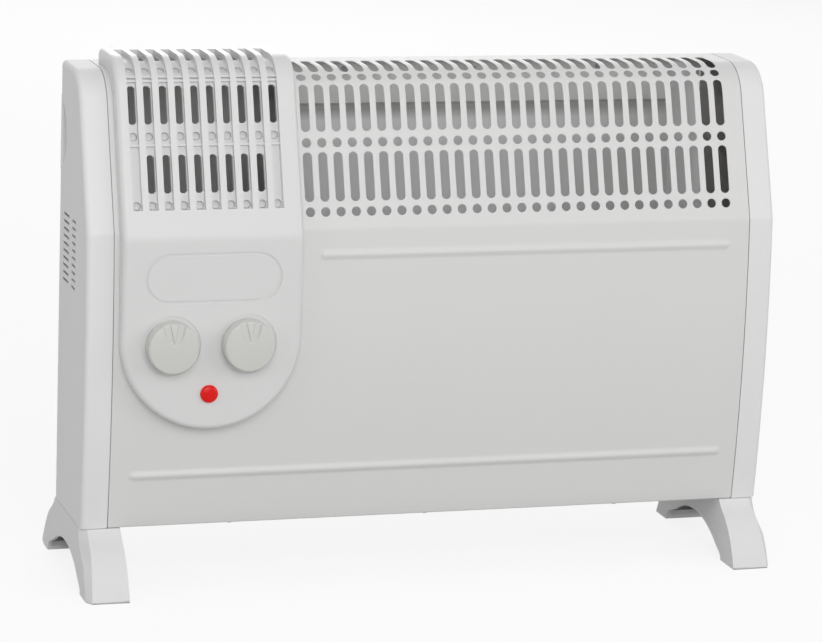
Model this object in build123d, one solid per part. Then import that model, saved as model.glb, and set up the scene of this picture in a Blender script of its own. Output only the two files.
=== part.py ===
from build123d import *
import math
import os

os.makedirs("parts", exist_ok=True)

# Free-standing convector heater, in millimetres. X is to the right seen from the front,
# the front faces -Y, Z is up, and the origin is on the floor, midway between the feet's ends.

# Housing
body_width = 525.0
cap_width = 20.0
seam_gap = 0.5
base_height = 46.0
body_top = 374.5
body_back = 44.25
front_foot_y = -46.25
front_bend_y = -51.65
bend_height = 264.0
belly_bulge = 4.9
slant_angle = 18.9
bend_radius = 12.0
crest_radius = 30.0
rear_top_radius = 4.5
sheet = 0.8
flange_depth = 12.0

# Outlet grille in the front panel: columns of slots and dots
grille_pitch = 11.5
grille_columns = 29
last_column_x = 223.75
slot_width = 5.0
dot_diameter = 6.8
low_dots_rise = 12.5
low_slots_rise = 38.0
low_slot_length = 36.0
mid_dots_rise = 63.0
high_slots_rise = 87.6
high_slot_length = 33.0
crest_dots_angle = 52.8
top_slot_front = -5.75
top_slot_length = 31.0
hole_sides = 8

# Pressed stiffening beads of the front panel
bead_radius = 4.5
bead_stand = 1.5
high_bead_z = 246.7
high_bead_span = (-87.0, 224.0)
low_bead_z = 86.6
low_bead_span = (-225.0, 226.0)

# End caps
cap_wall = 2.4
cap_edge_radius = 4.0
lip_length = 8.0
lip_wall = 2.0
fit_gap = 0.2
strip_width = 5.5
strip_depth = 8.0
strip_end_width = 2.0
grip_radius = 30.0
grip_depth = 16.0
grip_height = 322.0
grip_centre_y = 48.25
vent_count = 10
vent_pitch = 5.4
vent_height = 2.0
vent_top_z = 265.0
long_vent_length = 19.0
long_vent_y = 18.25
short_vent_length = 13.0
short_vent_y = -7.75

# Feet
foot_reach_front = -82.25
foot_reach_back = 82.25
foot_inner_x = 229.5
foot_splay = 3.5
foot_toe_length = 27.0
foot_heel_length = 22.0
arch_height = 24.0
foot_wall = 2.6
foot_front_bow = 3.5
foot_back_bow = 4.0

# Control cover
cover_centre_x = -172.0
cover_half_width = 66.5
cover_bottom = 121.0
cover_front_y = -63.55
cover_bend_height = 262.0
cover_top = 385.0
cover_back_y = 32.25
cover_crest_radius = 26.0
cover_bend_radius = 20.0
cover_wall = 2.8
cover_edge_radius = 4.0
channel_centre_x = -175.0
channel_count = 10
channel_width = 6.8
channel_depth = 4.0
channel_floor = 3.0
channel_foot_z = 280.0
channel_back_y = 20.25
cover_slot_width = 6.2
cover_low_slot = (291.8, 318.4)
cover_high_slot = (338.9, 365.5)
cover_top_slot = (-6.75, 17.25)
dimple_diameter = 5.6
dimple_depth = 1.4
dimple_heights = (283.7, 330.7)
crest_dimple_angle = 48.0
cross_bar_z = 324.5
crest_bar_angles = (21.5, 29.0)
cross_bar_width = 1.6
cross_bar_stand = 2.2
badge_length = 101.0
badge_height = 37.0
badge_z = 232.7
groove_width = 2.4
groove_depth = 0.8
cover_boss_diameter = 8.0
cover_boss_reach = 50.0
cover_boss_heights = (166.0, 240.0)

# Controls
control_x = -174.4
control_z = 184.0
control_half_spacing = 28.0
knob_diameter = 37.5
knob_height = 12.0
knob_gap = 1.0
knob_crown = 1.6
knob_edge_radius = 1.2
knob_wall = 2.4
hub_diameter = 11.0
knob_bore_depth = 8.0
notch_width = 17.0
notch_height = 11.0
notch_depth = 1.6
pointer_width = 2.4
dish_radius = 22.0
dish_depth = 0.7
spindle_diameter = 6.0
spindle_flat = 1.5
spindle_seat = 10.0
running_gap = 0.08
spindle_hole = 6.8
bushing_diameter = 10.0
bushing_reach = 6.0
control_body_size = 30.0
control_body_depth = 20.0
control_screw_spacing = 22.0
terminal_width = 6.3
terminal_length = 8.0
lens_x = -173.7
lens_z = 148.0
lens_diameter = 13.0
lens_flange = 1.0
lens_dome = 3.2
lens_barrel = 10.5
lens_barrel_length = 6.0
lamp_diameter = 8.0
lamp_length = 24.0
lamp_collar = 13.0

# Inside of the housing
left_wall_x = -103.0
right_wall_x = 207.0
inner_gap = 1.0
shield_y = 31.25
shield_foot_z = 62.0
shield_top_z = 340.0
element_z = 112.0
element_y = -7.75
board_height = 44.0
board_thickness = 1.2
ribbon_reach = 12.0
ribbon_width = 8.0
ribbon_thickness = 0.6
ribbon_folds = 24
ribbon_rise = 11.0
bracket_length = 10.0
bracket_depth = 14.0
insulator_diameter = 7.0
insulator_collar = 11.0
insulator_z = 150.0
insulator_spread = 12.0
cutout_diameter = 16.0
cutout_depth = 7.0
cutout_z = 200.0
intake_slot_length = 70.0
intake_slot_width = 6.0
intake_pitch = 14.0
intake_z = 104.0

# Supply side
bush_x = -200.0
bush_z = 78.0
bush_bore = 7.6
bush_neck = 11.0
bush_flange = 16.0
bush_flange_height = 3.0
block_x = -165.0
block_length = 34.0
block_depth = 18.0
block_height = 16.0

# Fasteners
screw_diameter = 3.0
screw_hole = 3.4
screw_head = 6.0
screw_head_height = 2.0
screw_length = 10.0
short_screw = 6.0
rear_screw_z = 366.0
rear_screw_x = (-150.0, -50.0, 50.0, 150.0)
base_screw_x = (-150.0, 0.0, 150.0)
base_screw_y = 38.5
cap_screw_x = 238.0
foot_screw_spots = ((238.0, -40.0), (250.0, 28.0))
partition_screw_heights = (210.0, 310.0)

panel_half = body_width / 2 - cap_width
cap_inner_x = panel_half + seam_gap
slope = math.radians(slant_angle)
back_face_y = body_back - sheet
base_top = base_height + 2 * sheet
knob_back_y = cover_front_y + dish_depth - knob_gap


def nearest_corner(face, point):
    return face.vertices().sort_by_distance(point)[0]


def side_face(lines):
    return make_face([edge for line in lines for edge in line.edges()])


def body_outline():
    """Closed side outline of the housing: local X is world Y, local Y is world Z."""
    foot = (front_foot_y, base_height)
    bend = (front_bend_y, bend_height)
    crest = (front_bend_y + (body_top - bend_height) * math.tan(slope), body_top)
    rear_top = (body_back, body_top)
    belly = SagittaArc(foot, bend, belly_bulge)
    rest = Polyline(bend, crest, rear_top, (body_back, base_height), foot)
    face = side_face([belly, rest])
    face = fillet(nearest_corner(face, crest), crest_radius)
    face = fillet(nearest_corner(face, bend), bend_radius)
    return fillet(nearest_corner(face, rear_top), rear_top_radius)


def section(grow=0.0):
    face = body_outline()
    if grow:
        face = offset(face, amount=grow, kind=Kind.INTERSECTION)
    return Plane.YZ * face


def front_y(z):
    """Depth of the front panel's outer face at a height."""
    if z > bend_height:
        return front_bend_y + (z - bend_height) * math.tan(slope)
    run = front_bend_y - front_foot_y
    rise = bend_height - base_height
    chord = math.hypot(run, rise)
    radius = (chord * chord / 4 + belly_bulge * belly_bulge) / (2 * belly_bulge)
    back = radius - belly_bulge
    centre_y = (front_foot_y + front_bend_y) / 2 + back * rise / chord
    centre_z = (base_height + bend_height) / 2 - back * run / chord
    return centre_y - math.sqrt(radius * radius - (z - centre_z) ** 2)


def crest_point(angle_deg, radius_change=0.0):
    """Depth and height on the crest arc where its normal points up by this angle."""
    span = crest_radius * math.tan((math.pi / 2 - slope) / 2)
    crest_y = front_bend_y + (body_top - bend_height) * math.tan(slope) + span
    crest_z = body_top - crest_radius
    reach = crest_radius + radius_change
    angle = math.radians(angle_deg)
    return crest_y - reach * math.cos(angle), crest_z + reach * math.sin(angle)


def facing_plane(x, y, z, tilt_deg):
    """Plane whose normal points to the front and up by the tilt, with its X along world X."""
    tilt = math.radians(tilt_deg)
    return Plane(origin=(x, y, z), x_dir=(1, 0, 0), z_dir=(0, -math.cos(tilt), math.sin(tilt)))


def slant_plane(x, rise):
    y = front_bend_y + rise * math.sin(slope)
    z = bend_height + rise * math.cos(slope)
    return facing_plane(x, y, z, slant_angle)


def through_cut(plane, outline, depth):
    return extrude(plane * outline, amount=depth, both=True)


def grille_dot(diameter):
    return RegularPolygon(diameter / 2, hole_sides, rotation=180 / hole_sides)


def grille_slot(length, width):
    """Upright slot with half-polygon ends."""
    end = RegularPolygon(width / 2, hole_sides, rotation=180 / hole_sides)
    reach = (length - width) / 2
    return make_hull((Pos(0, reach) * end + Pos(0, -reach) * end).edges())


def capsule(x_start, x_end, y, z, radius):
    bar = Pos((x_start + x_end) / 2, y, z) * Rot(0, 90, 0) * Cylinder(radius, x_end - x_start)
    return bar + Pos(x_start, y, z) * Sphere(radius) + Pos(x_end, y, z) * Sphere(radius)


def box_between(low, high):
    size = [b - a for a, b in zip(low, high)]
    centre = [(a + b) / 2 for a, b in zip(low, high)]
    return Pos(*centre) * Box(*size)


def mirrored(shape):
    return mirror(shape, about=Plane.YZ)


def pan_screw(length=screw_length):
    """Screw along Z: its head lies below Z = 0 and its shank above."""
    head = extrude(RegularPolygon(screw_head / 2, hole_sides), -screw_head_height)
    shank = extrude(RegularPolygon(screw_diameter / 2, hole_sides), length)
    return head + shank


def beads(radius):
    outset = bead_radius - bead_stand
    low = capsule(*low_bead_span, front_y(low_bead_z) + outset, low_bead_z, radius)
    high = capsule(*high_bead_span, front_y(high_bead_z) + outset, high_bead_z, radius)
    return low + high


def column_places():
    return [last_column_x - grille_pitch * index for index in range(grille_columns)]


def grille_cutters():
    reach = 4 * sheet
    dot = grille_dot(dot_diameter)
    low_slot = grille_slot(low_slot_length, slot_width)
    high_slot = grille_slot(high_slot_length, slot_width)
    top_slot = grille_slot(top_slot_length, slot_width)
    top_y = top_slot_front + top_slot_length / 2
    dot_y, dot_z = crest_point(crest_dots_angle)
    cutters = []
    for x in column_places():
        cutters.append(through_cut(slant_plane(x, low_dots_rise), dot, reach))
        cutters.append(through_cut(slant_plane(x, low_slots_rise), low_slot, reach))
        cutters.append(through_cut(slant_plane(x, mid_dots_rise), dot, reach))
        cutters.append(through_cut(slant_plane(x, high_slots_rise), high_slot, reach))
        cutters.append(through_cut(facing_plane(x, dot_y, dot_z, crest_dots_angle), dot, reach))
        cutters.append(extrude(Pos(x, top_y, body_top + 1) * top_slot, amount=-crest_radius / 2))
    return cutters


def front_tilt(z):
    """Upward tilt of the front panel's outer face at a height below the bend."""
    step = 0.5
    return -math.degrees(math.atan2(front_y(z - step) - front_y(z + step), 2 * step))


def panel_place(x, z):
    """Place on the front panel's outer face, with its Z along the face's normal."""
    return facing_plane(x, front_y(z), z, front_tilt(z)).location


def control_places():
    return [control_x - control_half_spacing, control_x + control_half_spacing]


def control_screw_places():
    """Screws from outside through the front panel into the switch and the thermostat."""
    places = []
    for x in control_places():
        for end in (-1, 1):
            z = control_z + end * control_screw_spacing / 2
            places.append(facing_plane(x, front_y(control_z), z, 0).location * Rot(180, 0, 0))
    return places


def cover_screw_places():
    """Screws from inside through the front panel into the cover's bosses."""
    places = []
    for side in (-1, 1):
        for z in cover_boss_heights:
            x = cover_centre_x + side * cover_boss_reach
            places.append(panel_place(x, z) * Pos(0, 0, -sheet))
    return places


def rear_screw_places():
    return [Pos(x, body_back, rear_screw_z) * Rot(90, 0, 0) for x in rear_screw_x]


def cap_screw_places():
    return [Pos(side * cap_screw_x, body_back, rear_screw_z) * Rot(90, 0, 0) for side in (-1, 1)]


def base_screw_places():
    return [Pos(x, side * base_screw_y, base_height) for x in base_screw_x for side in (-1, 1)]


def foot_screw_places():
    low = base_height - foot_wall
    return [Pos(side * x, y, low) for x, y in foot_screw_spots for side in (-1, 1)]


def partition_screw_places():
    """Screws through the back panel into the partitions' rear flanges."""
    places = []
    for x in (left_wall_x, right_wall_x):
        for z in partition_screw_heights:
            places.append(Pos(x + flange_depth / 2, back_face_y, z) * Rot(90, 0, 0))
    return places


def screws(places, length=screw_length):
    return Compound([place * pan_screw(length) for place in places])


def screw_holes(places, reach=screw_length):
    hole = extrude(Circle(screw_hole / 2), reach, both=True)
    return [place * hole for place in places]


def cover_window_cutters():
    """Openings of the panel behind the cover: its grille window and the controls' holes."""
    half = cover_half_width - 10.0
    grille_window = box_between(
        (cover_centre_x - half, 2 * cover_front_y, channel_foot_z),
        (cover_centre_x + half, channel_back_y - 4, cover_top),
    )
    holes = [grille_window]
    for x in control_places():
        plane = facing_plane(x, front_y(control_z), control_z, 0)
        holes.append(through_cut(plane, Circle(bushing_diameter / 2 + fit_gap), 5))
    lamp_plane = facing_plane(lens_x, front_y(lens_z), lens_z, 0)
    holes.append(through_cut(lamp_plane, Circle(lamp_diameter / 2 + fit_gap), 5))
    return holes + screw_holes(control_screw_places() + cover_screw_places(), short_screw)


def make_front_panel():
    outside = extrude(section(), panel_half, both=True) + beads(bead_radius)
    inside = extrude(section(-sheet), panel_half + 1, both=True) + beads(bead_radius - sheet)
    panel = outside - inside
    rear_open = box_between(
        (-panel_half - 1, back_face_y - 1, base_height - 1),
        (panel_half + 1, body_back + 1, body_top - flange_depth),
    )
    base_open = box_between(
        (-panel_half - 1, front_foot_y + flange_depth, base_height - 1),
        (panel_half + 1, body_back + 1, base_height + sheet + 1),
    )
    fixings = rear_screw_places() + cap_screw_places() + base_screw_places() + foot_screw_places()
    panel -= [rear_open, base_open] + cover_window_cutters()
    return panel - grille_cutters() - screw_holes(fixings)


def make_back_panel():
    half = panel_half - lip_length - seam_gap
    top = body_top - rear_top_radius - fit_gap
    plate = box_between((-half, back_face_y - sheet, base_height), (half, back_face_y, top))
    foot = box_between(
        (-half, back_face_y - flange_depth, base_height),
        (half, back_face_y - sheet, base_height + sheet),
    )
    count = int(2 * (half - 20) / intake_pitch)
    slots = []
    for index in range(count):
        x = (index - (count - 1) / 2) * intake_pitch
        if abs(x - bush_x) > bush_flange:
            slots.append(Pos(x, back_face_y, intake_z) * Box(intake_slot_width, 10, intake_slot_length))
    bush_hole = Pos(bush_x, back_face_y, bush_z) * Rot(90, 0, 0) * Cylinder(bush_neck / 2 + fit_gap, 10)
    fixings = rear_screw_places() + base_screw_places() + partition_screw_places()
    return plate + foot - slots - bush_hole - screw_holes(fixings)


def make_base_plate():
    half = panel_half - lip_length - seam_gap
    low_z = base_height + sheet
    front = front_y(base_height) + sheet + inner_gap
    back = back_face_y - sheet - fit_gap
    plate = box_between((-half, front, low_z), (half, back, low_z + sheet))
    length = back - front - 2 * flange_depth - screw_head
    count = int((half - 30) / intake_pitch)
    slots = []
    for index in range(count):
        x = (index - (count - 1) / 2) * 2 * intake_pitch
        if abs(x - block_x) > intake_pitch:
            slots.append(Pos(x, (front + back) / 2, low_z) * Box(intake_pitch, length, 6))
    return plate - slots - screw_holes(base_screw_places() + block_screw_places())


def edge_cutter(outline, lean_deg, inset=0.0):
    """Slanting slice off the front outer edge of a side outline, turned by its lean."""
    if inset:
        outline = offset(outline, amount=-inset)
    ahead = Rectangle(120, 2 * body_top, align=(Align.MAX, Align.MIN)) - outline
    front = ahead.faces().sort_by(Axis.X)[0]
    run = Vector(strip_width, strip_depth, 0) * 3
    slab = extrude(Plane.YZ * front, amount=run.length, dir=run.normalized())
    start_x = body_width / 2 - strip_width - inset
    return Pos(start_x, 0, base_height) * Rot(0, lean_deg, 0) * Pos(0, 0, -base_height) * slab


def strip_lean():
    """The strip narrows from its full width at the base to its end width at the bend."""
    return math.degrees(math.atan2(strip_width - strip_end_width, bend_height - base_height))


def behind_strip():
    """Block outside a flat wall behind the strip, which the cap's hollow stays clear of."""
    turn = math.degrees(math.atan2(strip_depth, strip_width))
    size = 2 * body_top
    block = Box(size, size, 2 * size, align=(Align.CENTER, Align.MAX, Align.CENTER))
    start = Pos(body_width / 2 - strip_width - cap_wall, front_foot_y, base_height)
    return start * Rot(0, strip_lean(), 0) * Rot(0, 0, turn) * block


def below_bend():
    size = 2 * body_width
    return Pos(0, 0, bend_height) * Box(size, size, size, align=(Align.CENTER, Align.CENTER, Align.MAX))


def make_right_cap():
    outer_x = body_width / 2
    body = Pos(cap_inner_x, 0, 0) * extrude(section(), outer_x - cap_inner_x)
    side = body.faces().sort_by(Axis.X)[-1]
    rim = [edge for edge in side.edges() if edge.center().Z > base_height + 0.1]
    rim = [edge for edge in rim if edge.center().Y > 0 or edge.center().Z > bend_height - bend_radius]
    strip = edge_cutter(body_outline(), strip_lean()) & below_bend()
    body = fillet(rim, cap_edge_radius) - strip
    hollow = Pos(cap_inner_x - 1, 0, 0) * extrude(section(-cap_wall), outer_x - cap_inner_x + 1 - cap_wall)
    cap = body - (hollow - (behind_strip() & below_bend()))
    lip_start = panel_half - lip_length
    lip_run = cap_inner_x - lip_start + cap_wall
    lip_outside = section(-sheet - fit_gap)
    lip_inside = section(-sheet - fit_gap - lip_wall)
    cap += Pos(lip_start, 0, 0) * (extrude(lip_outside, lip_run) - extrude(lip_inside, lip_run))
    grip_centre = Pos(outer_x + grip_radius - grip_depth, grip_centre_y, grip_height)
    pocket = (grip_centre * Sphere(grip_radius + cap_wall)) & body
    cap = cap + pocket - grip_centre * Sphere(grip_radius)
    vents = []
    for index in range(vent_count):
        z = vent_top_z - index * vent_pitch
        vents.append(Pos(outer_x, long_vent_y, z) * Box(3 * cap_wall, long_vent_length, vent_height))
        vents.append(Pos(outer_x, short_vent_y, z) * Box(3 * cap_wall, short_vent_length, vent_height))
    return cap - vents - screw_holes(cap_screw_places() + foot_screw_places())


def foot_outline():
    """Side outline of a foot: bowed front and back, and an arch between its toe and heel."""
    front_top = (front_y(base_height), base_height)
    toe = (foot_reach_front, 0)
    toe_back = (foot_reach_front + foot_toe_length, 0)
    heel_front = (foot_reach_back - foot_heel_length, 0)
    heel = (foot_reach_back, 0)
    back_top = (body_back, base_height)
    front = SagittaArc(front_top, toe, foot_front_bow)
    arch = ThreePointArc(toe_back, ((toe_back[0] + heel_front[0]) / 2, arch_height), heel_front)
    back = SagittaArc(heel, back_top, foot_back_bow)
    return side_face(
        [front, Polyline(toe, toe_back), arch, Polyline(heel_front, heel), back, Polyline(back_top, front_top)]
    )


def splayed_slab(inner_x, outer_x, top):
    """Upright slab through the feet's depth that leans outwards by the splay on its way down."""
    spread = foot_splay * top / base_height
    outline = Polygon(
        (inner_x + foot_splay - spread, top),
        (outer_x + foot_splay - spread, top),
        (outer_x + foot_splay, 0),
        (inner_x + foot_splay, 0),
        align=None,
    )
    return extrude(Plane.XZ * outline, amount=2 * foot_reach_back, both=True)


def make_right_foot():
    outer_x = body_width / 2
    lean = -math.degrees(math.atan2(foot_splay, base_height))
    solid = extrude(Plane.YZ * foot_outline(), body_width) & splayed_slab(foot_inner_x, outer_x, base_height)
    solid -= edge_cutter(foot_outline(), lean)
    mouth_start = foot_reach_front + foot_toe_length + foot_wall
    mouth_end = foot_reach_back - foot_heel_length - foot_wall
    mouth = Pos(mouth_start, 0) * Rectangle(
        mouth_end - mouth_start, arch_height + foot_wall, align=(Align.MIN, Align.MIN)
    )
    pocket_side = extrude(Plane.YZ * (offset(foot_outline(), amount=-foot_wall) + mouth), body_width)
    pocket = pocket_side & splayed_slab(foot_inner_x + foot_wall, outer_x - foot_wall, base_height)
    pocket -= edge_cutter(foot_outline(), lean, foot_wall)
    return solid - pocket - screw_holes(foot_screw_places())


def cover_outline():
    """Closed side outline of the cover, reaching inside the housing."""
    foot = (cover_front_y, cover_bottom - cover_wall)
    bend = (cover_front_y, cover_bend_height)
    crest = (cover_front_y + (cover_top - cover_bend_height) * math.tan(slope), cover_top)
    rear_top = (cover_back_y, cover_top)
    rear_foot = (cover_back_y, cover_bottom - cover_wall)
    face = make_face(Polyline(foot, bend, crest, rear_top, rear_foot, foot))
    face = fillet(nearest_corner(face, crest), cover_crest_radius)
    face = fillet(nearest_corner(face, bend), cover_bend_radius)
    return fillet(nearest_corner(face, rear_top), cover_edge_radius)


def cover_section(inset=0.0):
    face = cover_outline()
    if inset:
        face = offset(face, amount=-inset)
    return Plane.YZ * face


def cover_plan(inset=0.0):
    """Front outline of the cover: straight sides and a half-round foot."""
    half = cover_half_width - inset
    turn_z = cover_bottom + cover_half_width
    side = Rectangle(2 * half, cover_top, align=(Align.CENTER, Align.MIN))
    return Plane.XZ * (Pos(cover_centre_x, turn_z) * (side + Circle(half)))


def cover_block(inset=0.0, plan_inset=0.0):
    profile = Pos(cover_centre_x, 0, 0) * extrude(cover_section(inset), 2 * cover_half_width, both=True)
    return profile & extrude(cover_plan(plan_inset), amount=body_top, both=True)


def cover_skin_edges(block):
    """Edges where the cover's face turns into its side walls."""
    skin = []
    for edge in block.edges():
        box = edge.bounding_box()
        straight_across = box.size.X > cover_half_width and box.size.Z < sheet
        if box.max.Y < cover_back_y - cover_edge_radius + fit_gap and not straight_across:
            skin.append(edge)
    return skin


def cover_y(z):
    """Depth of the cover's outer face at a height below its crest."""
    return cover_front_y + max(0.0, z - cover_bend_height) * math.tan(slope)


def cover_crest_plane(x, angle_deg, depth):
    """Plane at a depth under the crest arc, facing out where its normal points up by the angle."""
    run = (cover_top - cover_bend_height) * math.tan(slope)
    centre_y = cover_front_y + run + cover_crest_radius * math.tan((math.pi / 2 - slope) / 2)
    centre_z = cover_top - cover_crest_radius
    reach = cover_crest_radius - depth
    angle = math.radians(angle_deg)
    y = centre_y - reach * math.cos(angle)
    z = centre_z + reach * math.sin(angle)
    return facing_plane(x, y, z, angle_deg)


def channel_places():
    middle = (channel_count - 1) / 2
    return [channel_centre_x + (index - middle) * grille_pitch for index in range(channel_count)]


def channel_cutters():
    outside = Plane.YZ * Polygon(
        (2 * cover_front_y, channel_foot_z),
        (channel_back_y, channel_foot_z),
        (channel_back_y, 2 * cover_top),
        (2 * cover_front_y, 2 * cover_top),
        align=None,
    )
    groove = extrude(outside - cover_section(channel_depth), channel_width / 2, both=True)
    return [Pos(x, 0, 0) * groove for x in channel_places()]


def cover_slot_cutters():
    """Slots through the channels' floors: the two outer channels have only the high one."""
    reach = channel_depth + channel_floor + 2
    front, back = cover_top_slot
    top_slot = Pos(0, (front + back) / 2) * grille_slot(back - front, cover_slot_width)
    cutters = []
    for index, x in enumerate(channel_places()):
        inner = 0 < index < channel_count - 1
        spans = (cover_low_slot, cover_high_slot) if inner else (cover_high_slot,)
        for low, high in spans:
            middle = (low + high) / 2
            slot = grille_slot((high - low) / math.cos(slope), cover_slot_width)
            plane = facing_plane(x, cover_y(middle), middle, slant_angle)
            cutters.append(through_cut(plane, slot, reach))
        if inner:
            cutters.append(extrude(Pos(x, 0, cover_top + 1) * top_slot, amount=-2 * reach))
    return cutters


def dimple_cutters():
    pit = extrude(grille_dot(dimple_diameter), dimple_depth, both=True)
    cutters = []
    for x in channel_places():
        for z in dimple_heights:
            plane = facing_plane(x, cover_y(z), z, slant_angle)
            cutters.append(plane * Pos(0, 0, -channel_depth) * pit)
        cutters.append(cover_crest_plane(x, crest_dimple_angle, channel_depth) * pit)
    return cutters


def cross_bars():
    bar = Box(channel_width + fit_gap, cross_bar_width, 2 * cross_bar_stand)
    bars = []
    for x in channel_places():
        plane = facing_plane(x, cover_y(cross_bar_z), cross_bar_z, slant_angle)
        bars.append(plane * Pos(0, 0, -channel_depth) * bar)
        for angle in crest_bar_angles:
            bars.append(cover_crest_plane(x, angle, channel_depth) * bar)
    return bars


def cover_bosses():
    post = Circle(cover_boss_diameter / 2)
    reach = -cover_front_y - cover_wall / 2
    bosses = []
    for side in (-1, 1):
        for z in cover_boss_heights:
            x = cover_centre_x + side * cover_boss_reach
            bosses.append(extrude(facing_plane(x, 0, z, 0) * post, amount=reach))
    return bosses


def make_cover():
    block = cover_block()
    block = fillet(cover_skin_edges(block), cover_edge_radius)
    split = Pos(cover_centre_x, 0, channel_foot_z - cover_wall)
    half_space = 2 * cover_top
    below = split * Box(half_space, half_space, half_space, align=(Align.CENTER, Align.CENTER, Align.MAX))
    low_room = cover_block(cover_wall, cover_wall) & below
    high_room = cover_block(channel_depth + channel_floor, cover_wall) - below
    cover = block - low_room - high_room + cover_bosses()
    cover -= extrude(section(fit_gap / 2), panel_half, both=True)
    cover -= channel_cutters()
    cover += cross_bars()
    ring = SlotOverall(badge_length, badge_height) - SlotOverall(
        badge_length - 2 * groove_width, badge_height - 2 * groove_width
    )
    cuts = [through_cut(facing_plane(cover_centre_x, cover_front_y, badge_z, 0), ring, groove_depth)]
    for x in control_places():
        face = facing_plane(x, cover_front_y, control_z, 0)
        cuts.append(through_cut(face, Circle(dish_radius), dish_depth))
        cuts.append(through_cut(face, Circle(spindle_hole / 2), 2 * cover_wall))
    lens_face = facing_plane(lens_x, cover_front_y, lens_z, 0)
    cuts.append(through_cut(lens_face, Circle(lens_barrel / 2 + fit_gap), 2 * cover_wall))
    return cover - cuts - cover_slot_cutters() - dimple_cutters() - screw_holes(cover_screw_places(), short_screw)


def rod(radius, length, start=0.0):
    """Cylinder along Z from a start height."""
    return Pos(0, 0, start) * Cylinder(radius, length, align=(Align.CENTER, Align.CENTER, Align.MIN))


def make_control(x):
    """Rotary control on the panel's inner face: body, threaded bushing and blade terminals."""
    size = control_body_size
    body = Box(size, size, control_body_depth, align=(Align.CENTER, Align.CENTER, Align.MAX))
    body = fillet(body.edges().filter_by(Axis.Z), 2.0)
    blade = Box(sheet, terminal_width, 2 * terminal_length)
    for column in (-1, 0, 1):
        for row in (-1, 1):
            body += Pos(column * size / 3.5, row * size / 4, -control_body_depth) * blade
    body += rod(bushing_diameter / 2, bushing_reach)
    body -= rod(spindle_diameter / 2 + running_gap, 2 * spindle_seat, -spindle_seat)
    seat_y = front_y(control_z) + sheet + fit_gap
    return facing_plane(x, seat_y, control_z, 0) * body - screw_holes(control_screw_places())


def make_spindle(x):
    """Round spindle from inside the control to inside the knob, with a flat at the knob."""
    back_y = front_y(control_z) + sheet + spindle_seat - inner_gap
    length = back_y - knob_back_y + knob_bore_depth - fit_gap
    flat = Pos(0, spindle_diameter / 2, length) * Box(
        spindle_diameter, 2 * spindle_flat, 2 * knob_bore_depth
    )
    return facing_plane(x, back_y, control_z, 0) * (rod(spindle_diameter / 2, length) - flat)


def make_knob(x):
    """Crowned hollow knob with a scoop at its top that leaves the pointer as a ridge."""
    radius = knob_diameter / 2
    shoulder = (radius, knob_height - knob_crown)
    half = Polygon((0, 0), (radius, 0), shoulder, (0, knob_height), align=None)
    half = fillet(nearest_corner(half, shoulder), knob_edge_radius)
    disc = revolve(Plane.XZ * half, Axis.Z)
    hollow = rod(radius - knob_wall, knob_height - 2 * knob_wall)
    hub = rod(hub_diameter / 2, knob_height - knob_wall)
    bore = rod(spindle_diameter / 2 + fit_gap / 2, knob_bore_depth)
    key = Pos(0, spindle_diameter / 2) * Box(spindle_diameter, 2 * spindle_flat, 2 * knob_bore_depth)
    scoop_foot = radius - notch_height
    scoop_side = radius - 0.6 * notch_height
    left_side = (-0.4 * notch_width, scoop_side)
    right_side = (0.4 * notch_width, scoop_side)
    arc = ThreePointArc(left_side, (0, scoop_foot), right_side)
    sides = Polyline(
        right_side, (notch_width / 2, radius + 1), (-notch_width / 2, radius + 1), left_side
    )
    ridge = Pos(0, radius) * Rectangle(pointer_width, 2 * notch_height)
    scoop = extrude(side_face([arc, sides]) - ridge, knob_height)
    knob = disc - Pos(0, 0, knob_height - knob_crown - notch_depth) * scoop - hollow + hub - (bore - key)
    return facing_plane(x, knob_back_y, control_z, 0) * knob


def make_lens():
    """Domed lens with a barrel through the cover."""
    half = lens_diameter / 2
    rise = lens_dome - lens_flange
    curve = (half * half + rise * rise) / (2 * rise)
    turn = math.asin(half / curve) / 2
    middle = (curve * math.sin(turn), lens_dome - curve + curve * math.cos(turn))
    rim = Polyline((0, lens_dome), (0, 0), (half, 0), (half, lens_flange))
    dome = ThreePointArc((half, lens_flange), middle, (0, lens_dome))
    cap = revolve(Plane.XZ * side_face([rim, dome]), Axis.Z)
    barrel = rod(lens_barrel / 2, lens_barrel_length, -lens_barrel_length)
    room = rod(lamp_diameter / 2 + fit_gap, lens_barrel_length, -lens_barrel_length)
    return facing_plane(lens_x, cover_front_y, lens_z, 0) * (cap + barrel - room)


def make_lamp():
    """Neon lamp: its glass stands inside the lens and its collar rests on the panel's inner face."""
    reach = front_y(lens_z) - cover_front_y - inner_gap
    tail = lamp_length - reach
    seat = sheet + 1.5 * fit_gap
    lamp = rod(lamp_diameter / 2, lamp_length, -tail) + rod(lamp_collar / 2, 2 * sheet, -seat - 2 * sheet)
    return facing_plane(lens_x, front_y(lens_z), lens_z, 0) * lamp


def partition_outline():
    """Side outline of a partition, clear of the skins and of the base plate."""
    face = offset(body_outline(), amount=-sheet - inner_gap, kind=Kind.INTERSECTION)
    return face - Rectangle(2 * body_top, base_top, align=(Align.CENTER, Align.MIN))


def insulator_places():
    return [
        Pos(left_wall_x, element_y + side * insulator_spread, insulator_z) * Rot(0, 90, 0)
        for side in (-1, 1)
    ]


def make_partition(x):
    """Sheet wall across the housing, with flanges on the back panel and on the base plate."""
    wall = Pos(x, 0, 0) * extrude(Plane.YZ * partition_outline(), sheet)
    rear_y = back_face_y - sheet
    top = rear_screw_z - screw_head - screw_hole
    wall += box_between((x, rear_y - sheet, base_top), (x + flange_depth, rear_y, top))
    half_foot = bracket_depth + ribbon_reach
    wall += box_between(
        (x, element_y - half_foot, base_top), (x + flange_depth, element_y + half_foot, base_top + sheet)
    )
    return wall - screw_holes(partition_screw_places())


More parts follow.
